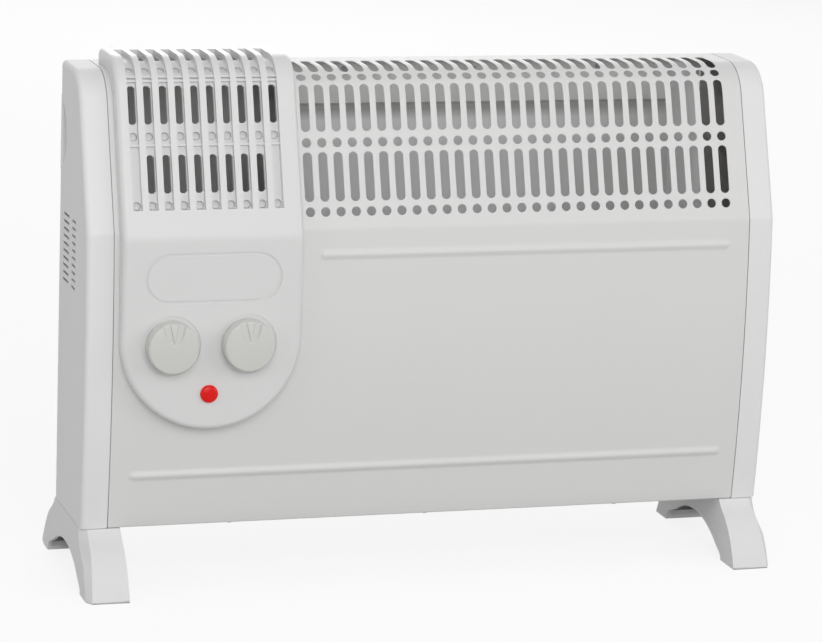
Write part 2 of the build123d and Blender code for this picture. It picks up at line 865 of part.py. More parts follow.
def make_left_partition():
    holes = [place * Cylinder(insulator_diameter / 2 + fit_gap / 2, 10) for place in insulator_places()]
    return make_partition(left_wall_x) - holes


def make_heat_shield():
    """Sheet behind the element, with a flange at its top that rests on the back panel."""
    low = (left_wall_x + sheet, shield_y, shield_foot_z)
    plate = box_between(low, (right_wall_x, shield_y + sheet, shield_top_z))
    top = box_between(
        (left_wall_x + sheet + flange_depth, shield_y, shield_top_z - sheet),
        (right_wall_x, back_face_y - sheet, shield_top_z),
    )
    return plate + top


def make_brackets():
    """Two slotted blocks on the partitions that hold the ends of the element's board."""
    groove = Box(
        2 * bracket_length, board_thickness + fit_gap, board_height + fit_gap
    )
    blocks = []
    for side, x in ((1, left_wall_x + sheet), (-1, right_wall_x)):
        block = Box(
            bracket_length, bracket_depth, board_height + 2 * cap_wall,
            align=(Align.MIN if side > 0 else Align.MAX, Align.CENTER, Align.CENTER),
        )
        slot = Pos(side * (bracket_length + cap_wall), 0, 0) * groove
        blocks.append(Pos(x, element_y, element_z) * (block - slot))
    return Compound(blocks)


def make_board():
    start = left_wall_x + sheet + cap_wall
    end = right_wall_x - cap_wall
    half = board_thickness / 2
    return box_between(
        (start, element_y - half, element_z - board_height / 2), (end, element_y + half, element_z + board_height / 2)
    )


def folded_ribbon(side):
    """Folded ribbon between the brackets, on one side of the board."""
    start = left_wall_x + sheet + bracket_length + 2
    end = right_wall_x - bracket_length - 2
    fold = (end - start) / (2 * ribbon_folds)
    near = board_thickness / 2
    path = []
    for index in range(2 * ribbon_folds + 1):
        path.append((start + index * fold, side * (near if index % 2 else near + ribbon_reach)))
    shifted = [(x, y + 2 * side * ribbon_thickness) for x, y in reversed(path)]
    strip = extrude(Polygon(*path, *shifted, align=None), ribbon_width / 2, both=True)
    return Pos(0, element_y, element_z + side * ribbon_rise) * strip


def make_ribbons():
    return Compound([folded_ribbon(-1), folded_ribbon(1)])


def make_insulators():
    """Ceramic bushes in the left partition for the element's leads."""
    bush = rod(insulator_diameter / 2, 14, -7) + rod(insulator_collar / 2, 3, sheet)
    bush -= rod(insulator_diameter / 4, 20, -10)
    return Compound([place * bush for place in insulator_places()])


def make_cutout():
    """Round thermal cut-out with a flange on the partition, above the element."""
    case = rod(cutout_diameter / 2, cutout_depth) + rod(cutout_diameter / 2 + 3, sheet)
    case += Pos(0, 0, cutout_depth) * Box(terminal_width, cutout_diameter / 2, 8)
    return Pos(left_wall_x + sheet, element_y, cutout_z) * Rot(0, 90, 0) * case


def block_screw_places():
    return [Pos(block_x, 0, base_height + sheet)]


def make_terminal_block():
    """Three-way terminal block on the base plate, with its clamp screws' wells."""
    block = Pos(block_x, 0, base_top) * Box(
        block_length, block_depth, block_height, align=(Align.CENTER, Align.CENTER, Align.MIN)
    )
    wells = []
    for way in (-1, 0, 1):
        for row in (-1, 1):
            x = block_x + way * block_length / 3
            wells.append(Pos(x, row * block_depth / 4, base_top + block_height) * Cylinder(2, block_height))
    tunnels = [
        Pos(block_x + way * block_length / 3, 0, base_top + block_height / 2) * Box(4, 2 * block_depth, 4)
        for way in (-1, 1)
    ]
    return block - wells - tunnels - screw_holes(block_screw_places(), 0.6 * block_height)


def make_bush():
    """Cord inlet bush: flange outside, neck through the back panel and a snap collar inside."""
    bush = rod(bush_flange / 2, bush_flange_height)
    bush += rod(bush_neck / 2, sheet + 2, -sheet - 2)
    bush += rod(bush_neck / 2 + 1.2, 1.9, -sheet - 2)
    bush -= rod(bush_bore / 2, 20, -10)
    return Pos(bush_x, back_face_y, bush_z) * Rot(-90, 0, 0) * bush


right_cap = make_right_cap()
right_foot = make_right_foot()
power_x, thermostat_x = control_places()
fixings = rear_screw_places() + partition_screw_places()

nodes = {
    "front_panel": make_front_panel(),
    "back_panel": make_back_panel(),
    "base_plate": make_base_plate(),
    "left_end_cap": mirrored(right_cap),
    "right_end_cap": right_cap,
    "left_foot": mirrored(right_foot),
    "right_foot": right_foot,
    "control_cover": make_cover(),
    "indicator_lens": make_lens(),
    "indicator_lamp": make_lamp(),
    "power_switch": make_control(power_x),
    "thermostat": make_control(thermostat_x),
    "power_knob": make_knob(power_x),
    "power_spindle": make_spindle(power_x),
    "thermostat_knob": make_knob(thermostat_x),
    "thermostat_spindle": make_spindle(thermostat_x),
    "left_partition": make_left_partition(),
    "right_partition": make_partition(right_wall_x),
    "heat_shield": make_heat_shield(),
    "element_brackets": make_brackets(),
    "element_board": make_board(),
    "element_ribbons": make_ribbons(),
    "insulators": make_insulators(),
    "thermal_cutout": make_cutout(),
    "terminal_block": make_terminal_block(),
    "cord_bush": make_bush(),
    "rear_screws": screws(fixings),
    "cap_screws": screws(cap_screw_places()),
    "base_screws": screws(base_screw_places()),
    "foot_screws": screws(foot_screw_places()),
    "control_screws": screws(control_screw_places()),
    "cover_screws": screws(cover_screw_places(), short_screw),
    "block_screw": screws(block_screw_places(), short_screw),
}

for name, shape in nodes.items():
    export_step(shape, f"parts/{name}.step")
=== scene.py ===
import bisect, bmesh, bpy, math
from mathutils import Matrix, Vector


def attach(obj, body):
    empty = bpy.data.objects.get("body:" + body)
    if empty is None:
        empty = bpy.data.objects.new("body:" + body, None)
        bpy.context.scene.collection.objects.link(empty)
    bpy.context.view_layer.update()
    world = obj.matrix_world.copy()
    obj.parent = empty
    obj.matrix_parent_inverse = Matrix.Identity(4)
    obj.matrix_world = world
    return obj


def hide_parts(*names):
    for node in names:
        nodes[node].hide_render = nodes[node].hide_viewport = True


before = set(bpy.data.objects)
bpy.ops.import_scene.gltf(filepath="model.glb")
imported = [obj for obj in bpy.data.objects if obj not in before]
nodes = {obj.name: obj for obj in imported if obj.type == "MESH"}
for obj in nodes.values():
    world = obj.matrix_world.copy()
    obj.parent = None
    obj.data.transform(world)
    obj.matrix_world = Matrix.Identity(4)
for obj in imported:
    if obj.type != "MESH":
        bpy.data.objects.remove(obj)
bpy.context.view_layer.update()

# %% [markdown]
# This scene dresses a white free-standing convector heater. Its solids are already in place, in
# metres, with the floor at Z = 0 and the front towards -Y.

# %% Units
mm = 0.001

# %% [markdown]
# The view comes first.
# The lens is a long one, the camera stands to the left of the heater and a little above it, and
# it leans by two degrees. A point on the front, a direction and a distance say this plainly.

# %% Camera
image_width = 822
focal_pixels = 3621.0
aim_point = Vector((-20.0, -52.0, 194.1)) * mm
camera_distance = 2646.6 * mm
yaw = math.radians(17.49)
elevation = math.radians(12.75)
roll = math.radians(2.13)


def camera_axes():
    """Right, up and forward of the camera in the heater's frame."""
    forward = Vector((
        math.sin(yaw) * math.cos(elevation),
        math.cos(yaw) * math.cos(elevation),
        -math.sin(elevation),
    ))
    level_right = forward.cross(Vector((0, 0, 1))).normalized()
    right = Matrix.Rotation(-roll, 3, forward) @ level_right
    return right, right.cross(forward), forward


def make_camera():
    right, up, forward = camera_axes()
    lens = bpy.data.cameras.new("camera")
    lens.sensor_width = 36.0
    lens.lens = focal_pixels * lens.sensor_width / image_width
    lens.clip_end = 50.0
    camera = bpy.data.objects.new("camera", lens)
    turn = Matrix((right, up, -forward)).transposed().to_4x4()
    camera.matrix_world = Matrix.Translation(aim_point - forward * camera_distance) @ turn
    bpy.context.scene.collection.objects.link(camera)
    bpy.context.scene.camera = camera
    return camera


camera = make_camera()
print("lens, mm:", round(camera.data.lens, 1))

# %% [markdown]
# A finish is a small network of shader nodes. Written node by node it hides what it does, so one
# class wraps a socket that carries a number, and adds the Math nodes when the socket is used in a
# Python expression. A second class holds one material and makes any other node in one call.

# %% Shader helpers
class Signal:
    """A number that varies over the surface and can be used in sums."""

    def __init__(self, finish, socket):
        self.finish = finish
        self.socket = socket

    def maths(self, operation, first, second=0.0):
        node = self.finish.node("ShaderNodeMath", {"operation": operation}, {0: first, 1: second})
        return Signal(self.finish, node.outputs[0])

    def __radd__(self, other):
        return self.maths("ADD", other, self)

    def __sub__(self, other):
        return self.maths("SUBTRACT", self, other)

    def __rmul__(self, other):
        return self.maths("MULTIPLY", other, self)

    def __truediv__(self, other):
        return self.maths("DIVIDE", self, other)

    def clamped(self):
        return self.maths("MINIMUM", self.maths("MAXIMUM", self, 0.0), 1.0)


class Finish:
    """One material and its nodes."""

    def __init__(self, name, colour, roughness, **constants):
        self.material = bpy.data.materials.new(name)
        self.material.use_nodes = True
        self.tree = self.material.node_tree
        self.shader = self.tree.nodes["Principled BSDF"]
        self.place = self.node("ShaderNodeTexCoord").outputs["Object"]
        self.shader.inputs["Base Color"].default_value = (*colour, 1.0)
        self.shader.inputs["Roughness"].default_value = roughness
        for socket, value in constants.items():
            self.shader.inputs[socket.replace("_", " ")].default_value = value

    def feed(self, socket, value):
        if isinstance(value, Signal):
            value = value.socket
        if isinstance(value, bpy.types.NodeSocket):
            self.tree.links.new(value, socket)
        else:
            socket.default_value = value

    def node(self, kind, settings=None, sockets=None):
        made = self.tree.nodes.new(kind)
        for setting, value in (settings or {}).items():
            setattr(made, setting, value)
        for socket, value in (sockets or {}).items():
            self.feed(made.inputs[socket], value)
        return made

    def noise(self, scale, detail=2.0, roughness=0.5):
        """Cloudy pattern with this many repeats a metre, from 0 to 1."""
        sockets = {"Vector": self.place, "Scale": scale, "Detail": detail, "Roughness": roughness}
        return Signal(self, self.node("ShaderNodeTexNoise", None, sockets).outputs[0])

    def axes(self):
        split = self.node("ShaderNodeSeparateXYZ", None, {0: self.place})
        return [Signal(self, output) for output in split.outputs]

    def mix(self, factor, first, second):
        node = self.node("ShaderNodeMix", {"data_type": "RGBA"}, {0: factor, 6: first, 7: second})
        return node.outputs[2]

    def bump(self, height, strength, distance):
        node = self.node("ShaderNodeBump", None, {
            "Height": height, "Strength": strength, "Distance": distance})
        self.feed(self.shader.inputs["Normal"], node.outputs[0])

    def colour(self, value):
        self.feed(self.shader.inputs["Base Color"], value)

    def vary(self, signal, colour, darker=0.985, lighter=1.01):
        """Let the base colour run between two shades of itself."""
        self.colour(self.mix(signal, shade(colour, darker), shade(colour, lighter)))

    def rough(self, value):
        self.feed(self.shader.inputs["Roughness"], value)


def shade(colour, factor):
    """A colour made darker or lighter, as the Mix node takes it."""
    return (*[channel * factor for channel in colour], 1.0)


# %% [markdown]
# Most of the heater is white. The sheet steel has a powder coat: it flows out before it hardens,
# so it keeps a soft orange peel about a millimetre across. The end caps and feet are moulded with
# an eroded grain, which is finer and duller. The control cover and knobs come from a polished
# mould. All three stay a little below full white, so that light can still model them.

# %% White finishes
def powder_coat(name, colour):
    coat = Finish(name, colour, 0.42, Specular_IOR_Level=0.45)
    coat.vary(coat.noise(9.0, 3.0), colour)
    coat.rough(0.38 + 0.1 * coat.noise(40.0))
    coat.bump(coat.noise(900.0, 2.0), 0.12, 0.0002)
    return coat.material


def grained_plastic(name, colour, roughness, grain, depth):
    plastic = Finish(name, colour, roughness, Specular_IOR_Level=0.4)
    plastic.vary(plastic.noise(6.0), colour)
    fine = plastic.noise(grain, 4.0, 0.65)
    plastic.rough(roughness - 0.05 + 0.1 * fine)
    plastic.bump(fine, depth, 0.0001)
    return plastic.material


white_coat = powder_coat("white powder coat", (0.708, 0.708, 0.704))
rear_coat = powder_coat("rear powder coat", (0.74, 0.74, 0.73))
cap_plastic = grained_plastic("white cap plastic", (0.785, 0.785, 0.79), 0.5, 2600.0, 0.25)
foot_plastic = grained_plastic("white foot plastic", (0.755, 0.755, 0.765), 0.5, 2600.0, 0.25)
cover_plastic = grained_plastic("white polished plastic", (0.72, 0.72, 0.72), 0.33, 1800.0, 0.06)
knob_plastic = grained_plastic("knob plastic", (0.635, 0.635, 0.612), 0.36, 2200.0, 0.12)
whites = (white_coat, rear_coat, cap_plastic, foot_plastic, cover_plastic, knob_plastic)
print("white finishes:", [finish.name for finish in whites])

# %% [markdown]
# Behind the grille are bare sheet, a mica board, folded ribbons, ceramic and black mouldings. They
# are seen only as shadow through the slots, but a look from behind or below shows them. The heat
# shield is seen best: its white coat is painted darker along the top edge, as the shadow under the
# rim, and towards the right end, as the shade of the end cap. This painted shade follows the height
# and the place along the heater, both in metres.

# %% Inner finishes
def bare_sheet(name, colour):
    sheet = Finish(name, colour, 0.4, Metallic=1.0)
    streaks = sheet.node("ShaderNodeMapping", None, {"Vector": sheet.place, "Scale": (4.0, 4.0, 260.0)})
    grain = sheet.node("ShaderNodeTexNoise", None, {"Vector": streaks.outputs[0], "Scale": 6.0})
    grain = Signal(sheet, grain.outputs[0])
    sheet.vary(grain, colour, 0.9, 1.05)
    sheet.rough(0.3 + 0.2 * grain)
    return sheet.material


def speckled(name, dark, light, roughness, scale):
    board = Finish(name, light, roughness)
    flakes = board.node("ShaderNodeTexVoronoi", None, {"Vector": board.place, "Scale": scale})
    board.colour(board.mix(Signal(board, flakes.outputs[0]), (*dark, 1.0), (*light, 1.0)))
    board.bump(board.noise(scale * 2), 0.2, 0.0002)
    return board.material


inner_sheet = powder_coat("inner white coat", (0.86, 0.86, 0.86))
# Darker plastic for the faces inside the end caps: painted shade of the closed cavity and of the seam.
cap_inside_painted_shade = grained_plastic("inner plastic painted shade", (0.55, 0.54, 0.53), 0.6, 2600.0, 0.25)
# Where the shield's painted shade starts and how fast it fades, in metres: shadow under the rim at the
# top, end cap shade at the right.
painted_shade_above = 0.329
painted_shade_fade = 0.008
painted_shade_right_of = 0.09
painted_shade_right_fade = 0.12


def make_shield_coat():
    """White coat with painted shade: a shadow along its top edge, and darker towards its right end."""
    coat = Finish("shield coat with painted shade", (0.5, 0.5, 0.49), 0.5)
    across, _, height = coat.axes()
    # Masks of the painted shadow under the rim along the top and the painted shade towards the right
    # end.
    top_shadow_mask = ((height - painted_shade_above) / painted_shade_fade).clamped()
    right_shade_mask = ((across - painted_shade_right_of) / painted_shade_right_fade).clamped()
    without_top_shadow = coat.mix(right_shade_mask, (0.74, 0.74, 0.745, 1.0), (0.58, 0.575, 0.57, 1.0))
    coat.colour(coat.mix(top_shadow_mask, without_top_shadow, (0.37, 0.365, 0.36, 1.0)))
    coat.rough(0.45 + 0.1 * coat.noise(60.0))
    coat.bump(coat.noise(900.0, 2.0), 0.12, 0.0002)
    return coat.material


shield_coat = make_shield_coat()
screw_steel = bare_sheet("zinc plated steel", (0.62, 0.62, 0.63))
ribbon_alloy = bare_sheet("resistance ribbon", (0.3, 0.28, 0.27))
mica = speckled("mica board", (0.30, 0.24, 0.17), (0.46, 0.38, 0.28), 0.5, 240.0)
ceramic = speckled("glazed ceramic", (0.72, 0.70, 0.64), (0.8, 0.78, 0.72), 0.25, 90.0)
black_plastic = grained_plastic("black plastic", (0.02, 0.02, 0.02), 0.45, 2400.0, 0.2)
natural_plastic = grained_plastic("natural nylon", (0.7, 0.69, 0.64), 0.4, 1500.0, 0.1)
# A faint red emission paints a glow on the lens: painted light for the light that comes back through
# it.
lens_red = Finish("red lens with painted glow", (0.62, 0.002, 0.001), 0.25, Specular_IOR_Level=0.25,
                  Emission_Strength=0.13)
lens_red.shader.inputs["Emission Color"].default_value = (0.9, 0.01, 0.005, 1.0)
lens_red.bump(lens_red.noise(500.0), 0.05, 0.0002)
lamp_glass = Finish("lamp glass", (0.85, 0.6, 0.5), 0.1)
lamp_glass.rough(0.08 + 0.08 * lamp_glass.noise(300.0))


def dress(finish, *names):
    for name in names:
        for slot in nodes[name].material_slots:
            slot.material = finish


dress(rear_coat, "back_panel", "base_plate")
dress(white_coat, "front_panel")
dress(cap_plastic, "left_end_cap", "right_end_cap")
dress(foot_plastic, "left_foot", "right_foot")
dress(cover_plastic, "control_cover")
dress(knob_plastic, "power_knob", "thermostat_knob")
dress(inner_sheet, "left_partition", "right_partition")
dress(shield_coat, "heat_shield")
dress(screw_steel, "power_spindle", "thermostat_spindle", "rear_screws", "cap_screws", "base_screws",
      "foot_screws", "control_screws", "cover_screws", "block_screw")
dress(ribbon_alloy, "element_ribbons")
dress(mica, "element_board")
dress(ceramic, "element_brackets", "insulators")
dress(black_plastic, "power_switch", "thermostat", "cord_bush", "thermal_cutout")
dress(natural_plastic, "terminal_block")
dress(lens_red.material, "indicator_lens")
dress(lamp_glass.material, "indicator_lamp")
print("dressed nodes:", len(nodes))

# %% [markdown]
# The floor is pale and the light is soft: a large lamp in front and a little above, a weaker one
# on each side and behind, and an even grey sky, all at a plain level. What the camera sees
# directly, or in a gloss, is white, as the photograph's background is, and the floor keeps a faint
# shadow. All lamps aim at the middle of the heater.

# %% Stage
floor_reach = 6.0
floor_colour = (0.47, 0.47, 0.46)
floor_shadow_share = 0.16


def seen_directly(tree):
    """1 for rays from the camera, from a gloss or through glass, and 0 for the light on the heater."""
    path = tree.nodes.new("ShaderNodeLightPath")
    factor = path.outputs["Is Camera Ray"]
    for kind in ("Is Glossy Ray", "Is Transmission Ray"):
        larger = tree.nodes.new("ShaderNodeMath")
        larger.operation = "MAXIMUM"
        tree.links.new(factor, larger.inputs[0])
        tree.links.new(path.outputs[kind], larger.inputs[1])
        factor = larger.outputs[0]
    return factor


def pale_material(name, colour, shadow_share):
    """Stage paint that lights the heater with its own colour and is seen as white with a shadow."""
    paint = Finish(name, colour, 0.9)
    glow = paint.node("ShaderNodeEmission", None, {"Color": (1, 1, 1, 1), "Strength": 1.0})
    matt = paint.node("ShaderNodeBsdfDiffuse", None, {"Color": (1, 1, 1, 1)})
    shown = paint.node("ShaderNodeMixShader", None, {
        0: shadow_share, 1: glow.outputs[0], 2: matt.outputs[0]})
    blend = paint.node("ShaderNodeMixShader", None, {
        0: seen_directly(paint.tree), 1: paint.shader.outputs[0], 2: shown.outputs[0]})
    paint.feed(paint.tree.nodes["Material Output"].inputs[0], blend.outputs[0])
    return paint.material


def make_floor():
    shape = bmesh.new()
    bmesh.ops.create_grid(shape, x_segments=1, y_segments=1, size=floor_reach)
    mesh = bpy.data.meshes.new("floor")
    shape.to_mesh(mesh)
    shape.free()
    floor = bpy.data.objects.new("floor", mesh)
    mesh.materials.append(pale_material("floor", floor_colour, floor_shadow_share))
    bpy.context.scene.collection.objects.link(floor)


make_floor()


# %% Light
lamp_target = Vector((0, 0, 0.2))


def soft_lamp(name, place, size, power):
    light = bpy.data.lights.new(name, "AREA")
    light.shape = "DISK"
    light.size = size
    light.energy = power
    lamp = bpy.data.objects.new(name, light)
    place = Vector(place)
    turn = (lamp_target - place).to_track_quat("-Z", "Y").to_matrix().to_4x4()
    lamp.matrix_world = Matrix.Translation(place) @ turn
    bpy.context.scene.collection.objects.link(lamp)


def make_sky(strength):
    world = bpy.data.worlds.new("sky")
    world.use_nodes = True
    tree = world.node_tree
    grey = tree.nodes["Background"]
    grey.inputs["Strength"].default_value = strength
    white = tree.nodes.new("ShaderNodeBackground")
    blend = tree.nodes.new("ShaderNodeMixShader")
    for ground in (grey, white):
        ground.inputs["Color"].default_value = (1, 1, 1, 1)
    tree.links.new(seen_directly(tree), blend.inputs[0])
    tree.links.new(grey.outputs[0], blend.inputs[1])
    tree.links.new(white.outputs[0], blend.inputs[2])
    tree.links.new(blend.outputs[0], tree.nodes["World Output"].inputs[0])
    bpy.context.scene.world = world


make_sky(0.44)
soft_lamp("key", (-0.4, -2.5, 1.4), 2.0, 30.0)
soft_lamp("left fill", (-2.6, -1.0, 1.2), 1.8, 9.0)
soft_lamp("right fill", (2.4, -1.8, 1.2), 1.8, 17.0)
soft_lamp("back fill", (0.6, 2.8, 1.5), 2.0, 18.0)
bpy.context.scene.view_settings.view_transform = "Standard"
print("lamps:", sorted(bpy.data.lights.keys()))

# %% [markdown]
# The curved and coated pieces get new meshes. Each is shaped in a bmesh, and one helper turns the
# finished bmesh into an object that moves with its body: it shades the faces smooth, keeps the
# edges that turn by more than a given angle sharp, and hides the solids that the piece stands for.

# %% From a bmesh to a piece
millimetre = Matrix.Scale(mm, 4)


def make_piece(shape, name, finish, body, stands_for=(), sharp_degrees=35.0):
    """Finish a bmesh that is in millimetres and add it to the scene."""
    for face in shape.faces:
        face.smooth = True
    for edge in shape.edges:
        edge.smooth = edge.calc_face_angle(math.pi) < math.radians(sharp_degrees)
    shape.transform(millimetre)
    mesh = bpy.data.meshes.new(name)
    shape.to_mesh(mesh)
    shape.free()
    mesh.materials.append(finish)
    piece = bpy.data.objects.new(name, mesh)
    bpy.context.scene.collection.objects.link(piece)
    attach(piece, body)
    if stands_for:
        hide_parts(*stands_for)
    print(name, len(mesh.polygons), "faces")
    return piece


# %% [markdown]
# The front is one pressed sheet. On the real heater it is punched flat and bent afterwards, and it
# is made here in the same order: a flat sheet with its holes, then the bend over a side profile.
# The profile is a chain of corners, each rounded with its own radius, and the belly between the
# foot and the bend is a very flat arc.

# %% Side profile of the housing
base_height = 46.0
bend_height = 264.0
body_top = 374.5
body_back = 44.25
front_foot_y = -46.25
front_bend_y = -51.65
belly_bulge = 4.9
slant = math.radians(18.9)
sheet_thickness = 0.8
half_width = 242.3
lip_length = 12.0
foot_fold_radius = 1.2
bend_radius = 12.0
crest_radius = 30.0
rear_corner_radius = 1.8
foot_corner = Vector((front_foot_y, base_height))
bend_corner = Vector((front_bend_y, bend_height))


def arc_radius(chord, bow):
    """Radius of the arc that stands this far over the middle of its chord."""
    return (chord.length ** 2 / 4 + bow ** 2) / (2 * bow)


def belly_points(count):
    """Points on the flat arc from the foot up to the bend."""
    chord = bend_corner - foot_corner
    radius = arc_radius(chord, belly_bulge)
    outward = Vector((-chord.y, chord.x)).normalized()
    centre = (foot_corner + bend_corner) / 2 - outward * (radius - belly_bulge)
    start = foot_corner - centre
    sweep = start.angle_signed(bend_corner - centre)
    turns = [Matrix.Rotation(-sweep * index / count, 2) for index in range(1, count)]
    return [centre + turn @ start for turn in turns]


def rounded(before, corner, after, radius, steps):
    """Points on the arc that rounds a corner."""
    back = (before - corner).normalized()
    ahead = (after - corner).normalized()
    half = back.angle(ahead) / 2
    reach = radius / math.tan(half)
    centre = corner + (back + ahead).normalized() * (radius / math.sin(half))
    start = corner + back * reach - centre
    sweep = start.angle_signed(corner + ahead * reach - centre)
    return [centre + Matrix.Rotation(-sweep * step / steps, 2) @ start for step in range(steps + 1)]


def housing_profile():
    """Points from the base lip, up the front and over the top to the rear lip."""
    lip = Vector((front_foot_y + lip_length, base_height))
    crest = Vector((front_bend_y + (body_top - bend_height) * math.tan(slant), body_top))
    rear = Vector((body_back, body_top))
    end = Vector((body_back, body_top - lip_length))
    belly = belly_points(24)
    return [
        lip,
        *rounded(lip, foot_corner, belly[0], foot_fold_radius, 4),
        *belly[:-1],
        *rounded(belly[-2], bend_corner, crest, bend_radius, 6),
        *rounded(bend_corner, crest, rear, crest_radius, 18),
        *rounded(crest, rear, end, rear_corner_radius, 8),
        end,
    ]


profile = housing_profile()
lengths = [0.0]
for start, end in zip(profile, profile[1:]):
    lengths.append(lengths[-1] + (end - start).length)
print("profile points:", len(profile), "length, mm:", round(lengths[-1], 1))

# %% Places along the profile
crest_zone = 25.0
corner_normals = []
for index in range(len(profile)):
    span = profile[min(index + 1, len(profile) - 1)] - profile[max(index - 1, 0)]
    corner_normals.append(Vector((-span.y, span.x)).normalized())


def on_profile(length, rise=0.0):
    """Depth and height at a length along the profile, lifted off the sheet by the rise."""
    index = min(max(bisect.bisect_right(lengths, length) - 1, 0), len(lengths) - 2)
    share = (length - lengths[index]) / (lengths[index + 1] - lengths[index])
    point = profile[index].lerp(profile[index + 1], share)
    normal = corner_normals[index].lerp(corner_normals[index + 1], share).normalized()
    return point + normal * rise


def length_where(test):
    """First length along the profile, in steps of a tenth, where the test holds."""
    step = 0.1
    return next(step * i for i in range(int(lengths[-1] / step)) if test(on_profile(step * i)))


def length_at_height(height):
    return length_where(lambda point: point.y > height)


def length_at_depth(depth):
    return length_where(lambda point: point.y > body_top - crest_zone and point.x > depth)


# %% [markdown]
# The grille repeats one column of dots and slots. Its holes are measured along the profile, and a
# list of rows says where each hole starts and ends and how wide it is.

# %% Rows of the grille
grille_pitch = 11.5
grille_columns = 29
last_column_x = 224.5
slot_width = 6.8
dot_diameter = 6.8
crest_height = body_top - crest_radius


def length_at_rise(rise):
    """Length at a distance from the bend's sharp corner, measured along the slant."""
    upward = Vector((math.sin(slant), math.cos(slant)))
    return length_where(lambda point: (point - bend_corner).dot(upward) > rise)


def dot_row(middle):
    return middle - dot_diameter / 2, middle + dot_diameter / 2, dot_diameter


crest_dot_length = length_at_height(crest_height + crest_radius * math.sin(math.radians(52.8)))
rows = [
    dot_row(length_at_rise(12.5)),
    (length_at_rise(20.0), length_at_rise(56.0), slot_width),
    dot_row(length_at_rise(63.0)),
    (length_at_rise(71.1), length_at_rise(106.1), slot_width),
    dot_row(crest_dot_length),
    (length_at_depth(-5.75), length_at_depth(25.25), slot_width),
]
row_margin = 3.0
row_bounds = [rows[0][0] - row_margin]
row_bounds += [(below[1] + above[0]) / 2 for below, above in zip(rows, rows[1:])]
row_bounds.append(rows[-1][1] + row_margin)
print("rows of holes, mm along the sheet:", [round(row[0], 1) for row in rows])

# %% [markdown]
# One cell is a dot or a slot in a rectangle of sheet. A circle is the hole, and a second circle is
# pushed out to the rectangle, so that both have 32 points and can be bridged. A slot is the same
# circle with its upper and lower halves moved apart. Two rings between them turn the hole's rim
# inwards a little, as a punch does.

# %% One cell, then one column
hole_points = 32
rim_rings = ((0.7, 0.0), (0.25, 0.1), (0.0, 0.36))


def ring_edges(shape, count, rule):
    """Circle of edges, each point of which is put where the rule says."""
    made = bmesh.ops.create_circle(shape, radius=1.0, segments=count)["verts"]
    edges = list(dict.fromkeys(edge for vert in made for edge in vert.link_edges))
    for vert in made:
        vert.co = rule(vert.co.copy())
    return edges


def verts_of(geom):
    return [item for item in geom if isinstance(item, bmesh.types.BMVert)]


def hole_cell(shape, low, high, start, end, width):
    """Sheet with one hole, between two lengths along the profile."""
    stretch = (end - start - width) / 2
    middle = (start + end) / 2

    def half_centre(unit):
        """Centre of the half circle that this point belongs to."""
        return middle + (math.copysign(stretch, unit.y) if abs(unit.y) > 0.01 else 0.0)

    def on_frame(unit):
        reach = max(abs(unit.x), abs(unit.y))
        centre = half_centre(unit)
        room = high - centre if unit.y > 0 else centre - low
        return Vector((unit.x / reach * grille_pitch / 2, centre + unit.y / reach * room, 0.0))

    def on_rim(grow, sink):
        def place(unit):
            radius = width / 2 + grow
            return Vector((unit.x * radius, half_centre(unit) + unit.y * radius, -sink))
        return place

    rules = [on_frame] + [on_rim(grow, sink) for grow, sink in rim_rings]
    rings = [ring_edges(shape, hole_points, rule) for rule in rules]
    for outer, inner in zip(rings, rings[1:]):
        bmesh.ops.bridge_loops(shape, edges=outer + inner)


def copy_along(shape, count, step):
    """Copies of everything in the shape, each moved a step further."""
    source = shape.verts[:] + shape.edges[:] + shape.faces[:]
    for index in range(1, count):
        made = bmesh.ops.duplicate(shape, geom=source)["geom"]
        bmesh.ops.translate(shape, verts=verts_of(made), vec=Vector(step) * index)


flat = bmesh.new()
for low, high, row in zip(row_bounds, row_bounds[1:], rows):
    hole_cell(flat, low, high, *row)
bmesh.ops.translate(flat, verts=flat.verts, vec=(last_column_x, 0, 0))
copy_along(flat, grille_columns, (-grille_pitch, 0, 0))
bmesh.ops.remove_doubles(flat, verts=flat.verts, dist=0.001)
print("grille:", len(flat.faces), "faces in", grille_columns, "columns")

# %% [markdown]
# The plain sheet round the grille is pulled out of its edges: to the left, where a window behind
# the control cover stays open, to the right, down to the base lip and back to the rear lip. Then
# straight cuts across the sheet give it points where it will bend: one at each point of the side
# profile, and a few close ones along the two raised beads.

# %% Plain sheet and its cuts
window_sides = (-228.5, -115.5)
window_start = length_at_height(280.0)
window_end = length_at_depth(16.25)
bead_width = 4.2
bead_stand = 1.5
beads = ((245.1, -87.0, 224.0), (85.0, -225.0, 226.0))
cut_snap = 0.04


def pull_edge(shape, axis, start, end):
    """Pull the open edge that lies at one place of an axis out to another."""
    rim = [edge for edge in shape.edges
           if edge.is_boundary and all(abs(vert.co[axis] - start) < 0.01 for vert in edge.verts)]
    made = bmesh.ops.extrude_edge_only(shape, edges=rim)["geom"]
    for vert in verts_of(made):
        vert.co[axis] = end


def cut_across(shape, axis, place, top=None):
    """Straight cut through the faces below a length, or through all of them."""
    faces = shape.faces[:]
    geom = shape.verts[:] + shape.edges[:] + faces
    if top is not None:
        faces = [face for face in faces if min(vert.co.y for vert in face.verts) < top]
        geom = faces + [item for face in faces for item in (*face.verts, *face.edges)]
        geom = list(dict.fromkeys(geom))
    normal = Vector((0, 0, 0))
    normal[axis] = 1.0
    bmesh.ops.bisect_plane(shape, geom=geom, dist=cut_snap, plane_co=normal * place, plane_no=normal)


